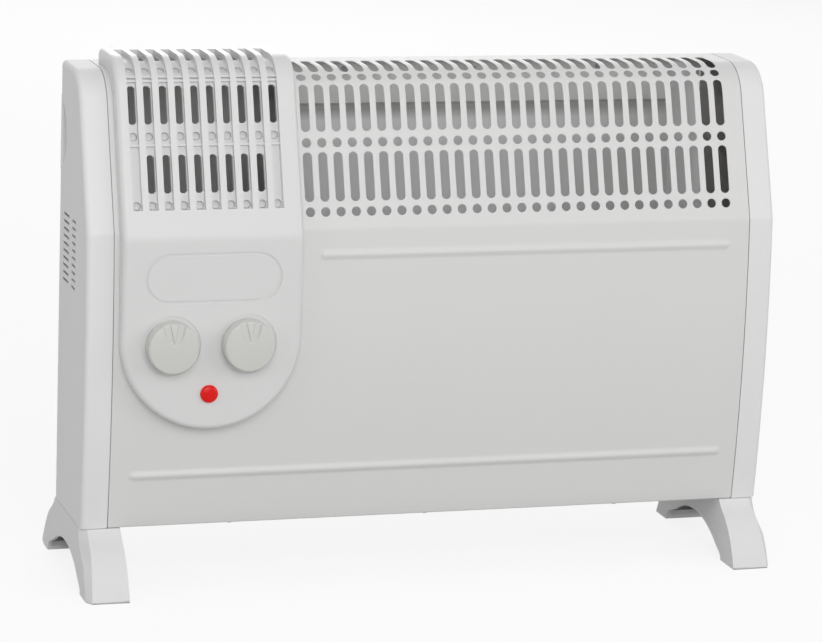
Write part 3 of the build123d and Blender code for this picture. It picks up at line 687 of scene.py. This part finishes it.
left_column_edge = last_column_x - grille_pitch * (grille_columns - 0.5)
right_column_edge = last_column_x + grille_pitch / 2
pull_edge(flat, 0, left_column_edge, window_sides[1])
pull_edge(flat, 0, window_sides[1], window_sides[0])
pull_edge(flat, 0, window_sides[0], -half_width)
pull_edge(flat, 0, right_column_edge, half_width)
pull_edge(flat, 1, row_bounds[0], 0.0)
pull_edge(flat, 1, row_bounds[-1], lengths[-1])
for length in lengths[1:-1] + [window_start, window_end]:
    cut_across(flat, 1, length)
bead_steps = [bead_width * step / 4 for step in (-4.8, -4, -3, -2, -1, 0, 1, 2, 3, 4, 4.8)]
for bead_z, start_x, end_x in beads:
    bead_length = length_at_height(bead_z)
    for step in bead_steps:
        cut_across(flat, 1, bead_length + step, bead_length + 2 * bead_width)
        for x in (start_x, end_x):
            cut_across(flat, 0, x + step, row_bounds[0])
in_window = [
    face for face in flat.faces
    if window_sides[0] < face.calc_center_median().x < window_sides[1]
    and window_start < face.calc_center_median().y < window_end
]
bmesh.ops.delete(flat, geom=in_window, context="FACES")
turned = [face for face in flat.faces if face.normal.z < 0]
bmesh.ops.reverse_faces(flat, faces=turned)
print("flat sheet:", len(flat.faces), "faces")

# %% [markdown]
# Bending the sheet puts each point at its length along the profile, lifted by the height of a
# bead. A bead is a smooth hump across and round its ends. Last, the sheet gets its thickness.

# %% Bent front panel
def bead_rise(x, length):
    """How far the two beads lift the sheet here."""
    rise = 0.0
    for bead_z, start_x, end_x in bead_lines:
        beyond = max(start_x - x, x - end_x, 0.0)
        distance = math.hypot(beyond, length - bead_z)
        if distance < bead_width:
            rise += bead_stand * math.cos(math.pi / 2 * distance / bead_width) ** 2
    return rise


bead_lines = [(length_at_height(bead_z), start_x, end_x) for bead_z, start_x, end_x in beads]
for vert in flat.verts:
    y, z = on_profile(vert.co.y, vert.co.z + bead_rise(vert.co.x, vert.co.y))
    vert.co = (vert.co.x, y, z)
bmesh.ops.remove_doubles(flat, verts=flat.verts, dist=0.01)
bmesh.ops.recalc_face_normals(flat, faces=flat.faces)
outside = min(flat.faces, key=lambda face: face.calc_center_median().y)
if outside.normal.y > 0:
    bmesh.ops.reverse_faces(flat, faces=flat.faces)
bmesh.ops.solidify(flat, geom=flat.faces[:], thickness=sheet_thickness)
print("panel y, mm:", round(min(vert.co.y for vert in flat.verts), 2))
make_piece(flat, "sheet_front", white_coat, "housing", ["front_panel"])

# %% [markdown]
# The moulded pieces already have their true shape as solids, but those meshes are loose
# triangles with flat shading. A copy is merged, its gentle edges are shaded smooth, and a Weighted
# Normal modifier keeps the large faces flat up to the start of each rounding. An edge counts as
# sharp past 30 degrees, and on the cover, whose slots and dimples have eight sides, past 50.

# %% Smooth copies of moulded and pressed pieces
def make_moulded(shape, node, name, finish, body="housing", sharp_degrees=30.0):
    """Piece that stands for a solid of nearly its own shape."""
    piece = make_piece(shape, name, finish, body, [node], sharp_degrees)
    modifier = piece.modifiers.new("weighted normals", "WEIGHTED_NORMAL")
    modifier.keep_sharp = True
    modifier.weight = 80
    return piece


def merged_copy(node):
    shape = bmesh.new()
    shape.from_mesh(nodes[node].data)
    shape.transform(millimetre.inverted())
    bmesh.ops.remove_doubles(shape, verts=shape.verts, dist=0.002)
    return shape


def smooth_copy(node, name, finish, body="housing"):
    make_moulded(merged_copy(node), node, name, finish, body)


# %% [markdown]
# The end caps are copies too, with two changes. Their top rear corner is crisper in the photograph
# than in the solid, and the inside is a second, darker material: painted shade for the closed cap,
# whose white is seen only as dark through the vents and along the seam. A face counts as inside when
# it lies more than a millimetre under every outer side.

# %% End caps
cap_inner_x = 243.0
cap_outer_x = 262.5
old_corner_radius = 4.5
grip_centre = Vector((276.5, 48.25, 322.0))
grip_radius = 30.0
skin = 1.2
inside_front_y = -38.0
seam_slack = 0.02
grip_slack = 0.3


def sharpen_rear_corner(shape):
    """Move the points of the large rear rounding out to a smaller one."""
    centre = Vector((body_back - old_corner_radius, body_top - old_corner_radius))
    inner = old_corner_radius - rear_corner_radius
    for vert in shape.verts:
        offset = Vector((vert.co.y, vert.co.z)) - centre
        if min(offset) <= 0.0 or offset.length < 0.01:
            continue
        aim = offset.normalized()
        reach = old_corner_radius / max(aim)
        if reach * min(aim) > inner:
            along = inner * (aim.x + aim.y)
            reach = along + math.sqrt(along ** 2 - 2 * inner ** 2 + rear_corner_radius ** 2)
        place = centre + offset * (reach / old_corner_radius)
        vert.co.y, vert.co.z = place


def under_front(point):
    """Depth of a point behind the front and top of the housing's profile."""
    flat_point = Vector((point.y, point.z))
    gaps = []
    for start, end in zip(profile, profile[1:]):
        span = end - start
        share = (flat_point - start).dot(span) / span.length_squared
        gaps.append((start + span * min(max(share, 0.0), 1.0) - flat_point).length)
    return min(gaps)


def is_inside(point):
    if not inside_front_y < point.y < body_back - skin:
        return False
    if not base_height + skin < point.z < body_top - skin:
        return False
    mirrored = Vector((abs(point.x), point.y, point.z))
    on_grip = abs((mirrored - grip_centre).length - grip_radius) < grip_slack
    return mirrored.x < cap_outer_x - skin and not on_grip and under_front(point) > 2 * skin


def make_cap(node, name):
    shape = merged_copy(node)
    sharpen_rear_corner(shape)
    centres = [face.calc_center_median() for face in shape.faces]
    # Faces under the sheet's edge and inside the cap take the darker plastic, as painted shade.
    inside = [index for index, centre in enumerate(centres)
              if abs(centre.x) < cap_inner_x + seam_slack or is_inside(centre)]
    piece = make_moulded(shape, node, name, cap_plastic)
    piece.data.materials.append(cap_inside_painted_shade)
    for index in inside:
        piece.data.polygons[index].material_index = 1
    print(name, "faces inside:", len(inside))


for side in ("left", "right"):
    make_cap(f"{side}_end_cap", f"moulded_{side}_cap")

# %% [markdown]
# Each grip scoop is closed towards the back by a wall, which the solid lacks. It fills the part of
# the round cut that goes through the cap's rear face: a circle is cut along the side of the heater,
# given a thickness, and its outer edges are rounded like the cap's.

# %% Rear wall of the grip scoops
grip_wall = 3.4
grip_wall_radius = 31.0
grip_wall_inset = 0.15
grip_wall_sink = 0.1
grip_wall_rounding = 1.5


def cut_off(shape, place, normal):
    """Delete what lies beyond a plane."""
    geom = shape.verts[:] + shape.edges[:] + shape.faces[:]
    bmesh.ops.bisect_plane(shape, geom=geom, plane_co=place, plane_no=normal, clear_outer=True)


def raise_faces(shape, height):
    """Extrude a flat shape along Z."""
    made = bmesh.ops.extrude_face_region(shape, geom=shape.faces[:])["geom"]
    bmesh.ops.translate(shape, verts=verts_of(made), vec=(0, 0, height))
    bmesh.ops.recalc_face_normals(shape, faces=shape.faces)


def tipped_place(x, y, z, angle):
    """Place whose Z is tipped from straight up towards the front by an angle."""
    return Matrix.Translation((x, y, z)) @ Matrix.Rotation(angle, 4, "X")


def facing_front(x, y, z):
    return tipped_place(x, y, z, math.pi / 2)


def make_grip_wall(side, name):
    shape = bmesh.new()
    bmesh.ops.create_circle(shape, cap_ends=True, radius=grip_wall_radius, segments=96)
    shape.transform(Matrix.Translation((side * grip_centre.x, 0, 0)))
    edge_x = side * (cap_outer_x - grip_wall_inset)
    cut_off(shape, (edge_x, 0, 0), (side, 0, 0))
    raise_faces(shape, grip_wall)
    outer = [edge for edge in shape.edges
             if all(abs(vert.co.x - edge_x) < 0.01 for vert in edge.verts)
             and abs(edge.verts[0].co.z - edge.verts[1].co.z) < 0.01]
    bmesh.ops.bevel(shape, geom=outer, offset=grip_wall_rounding, segments=4,
                    affect="EDGES", profile=0.5, material=-1)
    shape.transform(facing_front(0, body_back - grip_wall_sink, grip_centre.z))
    make_piece(shape, name, cap_plastic, "housing", sharp_degrees=40.0)


make_grip_wall(-1, "left_grip_wall")
make_grip_wall(1, "right_grip_wall")

# %% [markdown]
# The feet swell forwards and backwards between the housing and the floor, like a bent knee, and
# their inner side stands upright. The solid has a flare there instead, so the copy is warped: each
# point moves by a share that is zero at the floor and at the housing and full halfway. The tips of
# the toes are cut back along the outer side, and the upper rim is lowered to show a seam, except
# round the screws.

# %% Feet
foot_inner_x = 229.5
foot_wall = 2.6
foot_splay = 3.5
foot_outer_splay = 1.6
foot_swell = 10.8
foot_seam = 0.45
swell_start = 44.0
swell_full = 54.0
strip_width = 5.5
toe_height = 0.6
toe_tip = 78.0
toe_chamfer = 7.5
wall_slack = 0.1
rim_slack = 0.05
screw_room = 3.0
foot_screw_spots = ((238.0, -40.0), (250.0, 28.0))


def soft_step(value):
    value = min(max(value, 0.0), 1.0)
    return value * value * (3 - 2 * value)


def swell_at(reach, z):
    """How far a foot swells at a distance from the heater's middle and a height."""
    share = z / base_height
    ramp = (reach - swell_start) / (swell_full - swell_start)
    return foot_swell * 4 * share * (1 - share) * soft_step(ramp)


def warp_foot(shape):
    for vert in shape.verts:
        share = vert.co.z / base_height
        side = math.copysign(1.0, vert.co.x)
        lean = foot_splay * (1 - share)
        from_inner = abs(vert.co.x) - lean - foot_inner_x
        vert.co.y += math.copysign(swell_at(abs(vert.co.y), vert.co.z), vert.co.y)
        if vert.co.z < toe_height and abs(vert.co.y) > toe_tip:
            cut_share = (abs(vert.co.x) - lean - cap_outer_x + strip_width) / strip_width
            vert.co.y -= math.copysign(toe_chamfer * max(cut_share, 0.0), vert.co.y)
        if from_inner < foot_wall + wall_slack:
            vert.co.x += side * (foot_splay - lean)
        elif from_inner > cap_outer_x - foot_inner_x - foot_wall - wall_slack:
            vert.co.x -= side * (1 - share) * (foot_splay - foot_outer_splay)
    for vert in shape.verts:
        from_screws = [math.hypot(abs(vert.co.x) - x, vert.co.y - y) for x, y in foot_screw_spots]
        if vert.co.z > base_height - rim_slack and min(from_screws) >= screw_room:
            vert.co.z -= foot_seam


def make_foot(node, name):
    shape = merged_copy(node)
    warp_foot(shape)
    make_moulded(shape, node, name, foot_plastic)


for side in ("left", "right"):
    make_foot(f"{side}_foot", f"moulded_{side}_foot")

# %% [markdown]
# In each solid foot the hollow breaks through the back of the heel in a low slot, which no foot has.
# A strip of wall closes it from inside: a grid is laid along the heel's arc and given a thickness.

# %% Heel walls
heel_low, heel_high = Vector((82.25, 0.0)), Vector((body_back, base_height))
heel_bow = 4.0
heel_sides = (234.6, 262.2)
heel_cover = (17.0, 33.0)
heel_sink = 0.05
heel_thickness = 1.0


def heel_y(z):
    """Depth of the solid heel's back at a height."""
    chord = heel_high - heel_low
    radius = arc_radius(chord, heel_bow)
    outward = Vector((chord.y, -chord.x)).normalized()
    centre = (heel_low + heel_high) / 2 + outward * (radius - heel_bow)
    return centre.x - math.sqrt(radius ** 2 - (z - centre.y) ** 2)


def heel_strip(side):
    shape = bmesh.new()
    bmesh.ops.create_grid(shape, x_segments=4, y_segments=16, size=0.5)
    for vert in shape.verts:
        x = heel_sides[0] + (vert.co.x + 0.5) * (heel_sides[1] - heel_sides[0])
        z = heel_cover[0] + (vert.co.y + 0.5) * (heel_cover[1] - heel_cover[0])
        y = heel_y(z)
        vert.co = (side * x, y + swell_at(y, z) - heel_sink, z)
    bmesh.ops.recalc_face_normals(shape, faces=shape.faces)
    if next(iter(shape.faces)).normal.y < 0:
        bmesh.ops.reverse_faces(shape, faces=shape.faces)
    bmesh.ops.solidify(shape, geom=shape.faces[:], thickness=heel_thickness)
    return shape


def join_shapes(parts):
    """One bmesh with the faces of all the parts."""
    whole = bmesh.new()
    for part in parts:
        mesh = bpy.data.meshes.new("part")
        part.to_mesh(mesh)
        part.free()
        whole.from_mesh(mesh)
        bpy.data.meshes.remove(mesh)
    return whole


make_piece(join_shapes([heel_strip(-1), heel_strip(1)]), "heel_walls", foot_plastic, "housing")

# %% [markdown]
# The small mouldings, beads and spindles keep their solid's shape and get smooth copies. The
# spindles ride on the turning bodies, the others on the housing.

# %% Small smooth copies
black_mouldings = {"cord_bush": "moulded_bush", "power_switch": "switch_box",
                   "thermostat": "thermostat_box", "thermal_cutout": "cutout_disc"}
for node, name in black_mouldings.items():
    smooth_copy(node, name, black_plastic)
smooth_copy("terminal_block", "moulded_block", natural_plastic)
smooth_copy("insulators", "ceramic_beads", ceramic)
for control in ("power", "thermostat"):
    smooth_copy(f"{control}_spindle", f"turned_{control}_spindle", screw_steel, f"{control}_control")

# %% [markdown]
# Knobs, the lens and screw heads are all round, so one helper builds them as a stack of rings that
# are bridged in turn and closed at the end. Each ring has a rule that says where its points go, so
# the same stack can carry a knurled rim or a cross recess.

# %% Stack of rings
def ring_stack(shape, count, rules, close_start=False):
    """Rings that follow their rules, bridged in turn, with the last one closed."""
    rings = [ring_edges(shape, count, rule) for rule in rules]
    for first, second in zip(rings, rings[1:]):
        bmesh.ops.bridge_loops(shape, edges=first + second)
    bmesh.ops.edgeloop_fill(shape, edges=rings[-1])
    if close_start:
        bmesh.ops.edgeloop_fill(shape, edges=rings[0])
    bmesh.ops.recalc_face_normals(shape, faces=shape.faces)


def round_rule(radius, height):
    return lambda unit: Vector((unit.x * radius, unit.y * radius, height))


# %% [markdown]
# A knob is a hollow cap with a nearly flat face, a rounded rim with fine knurls and a shallow scoop
# at its top, where a narrow ridge is left as the pointer. The face has many close rings, and the
# scoop and its ridge are one height function over them, with soft edges as a moulding has.

# %% Knobs
control_z = 184.0
control_columns = (-202.4, -146.4)
cover_front_y = -63.55
knob_back_y = -63.85
knob_radius = 18.75
knob_height = 12.0
knob_crown = 1.3
knob_wall = 2.4
knurl_count = 72
knurl_depth = 0.22
face_points = 216
scoop_foot = 3.2
scoop_half_width = 8.4
scoop_depth = 1.8
scoop_edge = 0.6
scoop_power = 3.2
shallow_share = 0.75
pointer_start = 2.0
pointer_spread = 0.22
pointer_edge = 0.7
pointer_share = 0.75
face_inset = 1.3
face_rings = 36
back_rings = ((0.3, 0.0, 0), (0.0, 0.4, 0), (0.0, 0.9, 1))
edge_rings = ((0.05, 1.5, 1), (0.3, 0.75, 0.6), (0.75, 0.25, 0))


def scoop_fall(x, y):
    """How far the scoop lies under the knob's face here."""
    edge_y = scoop_foot + (knob_radius - scoop_foot) * (abs(x) / scoop_half_width) ** scoop_power
    inside = soft_step((y - edge_y) / scoop_edge)
    deeper = soft_step((y - scoop_foot) / (knob_radius - scoop_foot))
    slope = shallow_share + (1.0 - shallow_share) * deeper
    ridge_half = pointer_spread * (y - scoop_foot - pointer_start)
    ridge = 1.0 - soft_step((abs(x) - ridge_half) / pointer_edge)
    return scoop_depth * inside * slope * (1.0 - pointer_share * ridge)


def face_rule(share):
    """Ring on the knob's face at this share of the radius."""
    def rule(unit):
        radius = (knob_radius - face_inset) * share
        x, y = unit.x * radius, unit.y * radius
        crown = knob_crown * (1 - (radius / knob_radius) ** 2)
        return Vector((x, y, knob_height - knob_crown + crown - scoop_fall(x, y)))
    return rule


def rim_rule(inset, height, knurled):
    """Ring on the knob's side, pulled in between the knurls."""
    def rule(unit):
        turn = math.atan2(unit.y, unit.x) * knurl_count
        radius = knob_radius - inset - knurled * knurl_depth * (0.5 + 0.5 * math.cos(turn))
        x, y = unit.x * radius, unit.y * radius
        fall = scoop_fall(x, y) if height > knob_height / 2 else 0.0
        return Vector((x, y, height - fall))
    return rule


def make_knob(x, control):
    top = knob_height - knob_crown
    rules = [rim_rule(knob_wall, knob_height - 3 * knob_wall, 0), rim_rule(knob_wall, 0.0, 0)]
    rules += [rim_rule(inset, height, knurled) for inset, height, knurled in back_rings]
    rules += [rim_rule(inset, top - fall, knurled) for inset, fall, knurled in edge_rings]
    rules += [face_rule(step / face_rings) for step in range(face_rings, 0, -1)]
    shape = bmesh.new()
    ring_stack(shape, face_points, rules, close_start=True)
    shape.transform(facing_front(x, knob_back_y, control_z))
    name = f"pointer_knob_{control}"
    make_piece(shape, name, knob_plastic, f"{control}_control", [f"{control}_knob"], 50.0)


for column_x, control in zip(control_columns, ("power", "thermostat")):
    make_knob(column_x, control)

# %% [markdown]
# The indicator is a small dome of red acrylic with a flat rim. It isn't lit in the photograph,
# yet it looks bright, because light comes back through it from the white cover; a faint red
# emission in its finish paints that light as a glow.

# %% Lens
lens_x = -173.7
lens_z = 148.0
lens_radius = 6.5
lens_rim_height = 1.0
lens_height = 3.2
barrel_radius = 5.25
barrel_length = 6.0
barrel_gap = 0.05


def lens_rule(angle):
    rise = (lens_height - lens_rim_height) * math.sin(angle)
    return round_rule(lens_radius * math.cos(angle), lens_rim_height + rise)


def make_lens():
    shape = bmesh.new()
    rules = [round_rule(barrel_radius, -barrel_length), round_rule(barrel_radius, barrel_gap)]
    rules.append(round_rule(lens_radius, barrel_gap))
    rules += [lens_rule(math.radians(5 * step)) for step in range(18)]
    ring_stack(shape, 64, rules, close_start=True)
    shape.transform(facing_front(lens_x, cover_front_y, lens_z))
    make_piece(shape, "domed_lens", lens_red.material, "housing", ["indicator_lens"], 40.0)


make_lens()

# %% [markdown]
# Pan head screws hold the sheets and mouldings. A head has a rounded shoulder and a cross recess,
# which is a ring with four far points and twelve near ones, sunk into the head.

# %% Screws
head_radius = 3.0
head_height = 2.0
shoulder_height = 1.55
recess_height = 0.9
shoulder_inset = 0.35
crown_inset = 1.0
shank_radius = 1.5
screw_length = 10.0
tip_radius = 0.4
tip_length = 1.0
recess_size = 1.6
recess_floor_size = 1.1
cross_shares = (1.0, 0.55, 0.42, 0.55)


def cross_rule(size, height):
    def rule(unit):
        turn = round(math.atan2(unit.y, unit.x) / (math.pi / 8)) % 4
        radius = size * cross_shares[turn]
        return Vector((unit.x * radius, unit.y * radius, height))
    return rule


def screw_shape(place):
    """A screw whose head points along the place's own Z."""
    shape = bmesh.new()
    ring_stack(shape, 16, [
        round_rule(tip_radius, -screw_length), round_rule(shank_radius, tip_length - screw_length),
        round_rule(shank_radius, 0.0), round_rule(head_radius, 0.0),
        round_rule(head_radius, recess_height),
        round_rule(head_radius - shoulder_inset, shoulder_height),
        round_rule(head_radius - crown_inset, head_height),
        cross_rule(recess_size, head_height), cross_rule(recess_floor_size, recess_height),
    ], close_start=True)
    shape.transform(place)
    return shape


def make_screws(name, node, places):
    shape = join_shapes([screw_shape(place) for place in places])
    make_piece(shape, name, screw_steel, "housing", [node], 30.0)


def facing_back(x, z, y=body_back):
    return tipped_place(x, y, z, -math.pi / 2)


def facing_down(x, y, z):
    return tipped_place(x, y, z, math.pi)


rear_screw_z = 366.0
wall_screw_heights = (210.0, 310.0)
wall_screw_columns = (-97.0, 213.0)
rear_places = [facing_back(x, rear_screw_z) for x in (-150.0, -50.0, 50.0, 150.0)]
rear_places += [
    facing_back(x, z, body_back - sheet_thickness)
    for x in wall_screw_columns for z in wall_screw_heights
]
base_places = [facing_down(x, y, base_height) for x in (-150.0, 0.0, 150.0) for y in (-38.5, 38.5)]
foot_places = [
    facing_down(side * x, y, base_height - foot_wall)
    for x, y in foot_screw_spots for side in (-1, 1)
]
make_screws("rear_pan_screws", "rear_screws", rear_places)
make_screws("cap_pan_screws", "cap_screws", [facing_back(x, rear_screw_z) for x in (-238.0, 238.0)])
make_screws("base_pan_screws", "base_screws", base_places)
make_screws("foot_pan_screws", "foot_screws", foot_places)

# %% [markdown]
# The cover is a merged copy too, with three changes. Its dimples become wider and deeper: their
# points are spread, and those of the floor are pushed in along the face's normal, but not through
# the wall. The slots get wider, and the whole grille of the cover moves up its slanted face a
# little. Each dimple's floor has a step, a half disc made from a circle that is cut in two.

# %% Cover with its dimples
channel_centre_x = -175.0
channel_count = 10
channel_depth = 4.0
dimple_radius = 2.75
dimple_depth = 1.4
dimple_deepening = 1.3
dimple_widening = 1.14
step_height = 1.3
step_radius = 2.45
cover_slot_half = 3.1
wide_slot_half = 3.36
channel_shift = 1.6
shift_fades = (270.0, 279.0)
crest_fades = (32.0, 42.0)
dimple_slack = 0.3
dimple_search = 1.15
slot_slack = 0.12
dimple_heights = (283.7, 330.7)
crest_dimple_angle = math.radians(48.0)
cover_bend_height = 262.0
cover_top = 385.0
cover_crest_radius = 26.0
first_channel_x = channel_centre_x - (channel_count - 1) / 2 * grille_pitch


def crest_centre():
    run = (cover_top - cover_bend_height) * math.tan(slant)
    centre_y = cover_front_y + run + cover_crest_radius * math.tan((math.pi / 2 - slant) / 2)
    return Vector((centre_y, cover_top - cover_crest_radius))


def cover_slant_place(x, z, depth):
    """Place under the cover's slanted face, with its Z along the face's normal."""
    y = cover_front_y + (z - cover_bend_height) * math.tan(slant)
    return leaning_place(x, y, z, slant, depth)


def cover_crest_place(x, angle, depth):
    spot = crest_centre() + cover_crest_radius * Vector((-math.cos(angle), math.sin(angle)))
    return leaning_place(x, spot.x, spot.y, angle, depth)


def leaning_place(x, y, z, tilt, depth):
    return tipped_place(x, y, z, math.pi / 2 - tilt) @ Matrix.Translation((0, 0, -depth))


def half_disc(place):
    shape = bmesh.new()
    bmesh.ops.create_circle(shape, cap_ends=True, radius=step_radius, segments=24)
    cut_off(shape, (0, 0, 0), (0, 1, 0))
    raise_faces(shape, step_height)
    shape.transform(place)
    return shape


def dimple_places(depth):
    places = []
    for index in range(channel_count):
        x = first_channel_x + index * grille_pitch
        places += [cover_slant_place(x, z, depth) for z in dimple_heights]
        places.append(cover_crest_place(x, crest_dimple_angle, depth))
    return places


def deepen_dimples(shape):
    """Widen each dimple and push its floor further in."""
    moved = 0
    for place in dimple_places(channel_depth + dimple_depth):
        to_place = place.inverted()
        for vert in shape.verts:
            near = to_place @ vert.co
            at_depth = -dimple_slack < near.z < dimple_depth + dimple_slack
            if at_depth and math.hypot(near.x, near.y) < dimple_search * dimple_radius:
                near.x *= dimple_widening
                near.y *= dimple_widening
                near.z -= dimple_deepening if near.z < dimple_slack else 0.0
                vert.co = place @ near
                moved += 1
    print("dimple points moved:", moved)


def widen_slots(shape):
    """Move the long sides of the cover's slots apart."""
    for vert in shape.verts:
        column = round((vert.co.x - first_channel_x) / grille_pitch)
        aside = vert.co.x - first_channel_x - column * grille_pitch
        if 0 <= column < channel_count and abs(abs(aside) - cover_slot_half) < slot_slack:
            vert.co.x += math.copysign(wide_slot_half - cover_slot_half, aside)


def fade_from(value, none, full):
    return min((value - none) / (full - none), 1.0)


def shift_up(point):
    """Move a point in the side view up along the cover's face, less towards both ends."""
    centre = crest_centre()
    arm = point - centre
    angle = math.degrees(math.atan2(arm.y, -arm.x))
    if math.degrees(slant) < angle < crest_fades[1] and arm.x < 0:
        fade = fade_from(angle, crest_fades[1], crest_fades[0])
        return centre + Matrix.Rotation(-channel_shift * fade / cover_crest_radius, 2) @ arm
    if angle < math.degrees(slant) and point.y > shift_fades[0]:
        fade = fade_from(point.y, *shift_fades)
        return point + channel_shift * fade * Vector((math.sin(slant), math.cos(slant)))
    return point


def shift_channels(shape):
    """Shift the grille of the cover up, without the cover's own outline."""
    reach = channel_count * grille_pitch / 2 - 1.0
    for vert in shape.verts:
        if abs(vert.co.x - channel_centre_x) < reach:
            vert.co.yz = shift_up(vert.co.yz)


cover_shape = merged_copy("control_cover")
deepen_dimples(cover_shape)
widen_slots(cover_shape)
shift_channels(cover_shape)
make_moulded(cover_shape, "control_cover", "moulded_cover", cover_plastic, sharp_degrees=50.0)
pit_floor = channel_depth + dimple_depth + dimple_deepening
dimple_steps = join_shapes([half_disc(place) for place in dimple_places(pit_floor)])
shift_channels(dimple_steps)
make_piece(dimple_steps, "dimple_steps", cover_plastic, "housing")
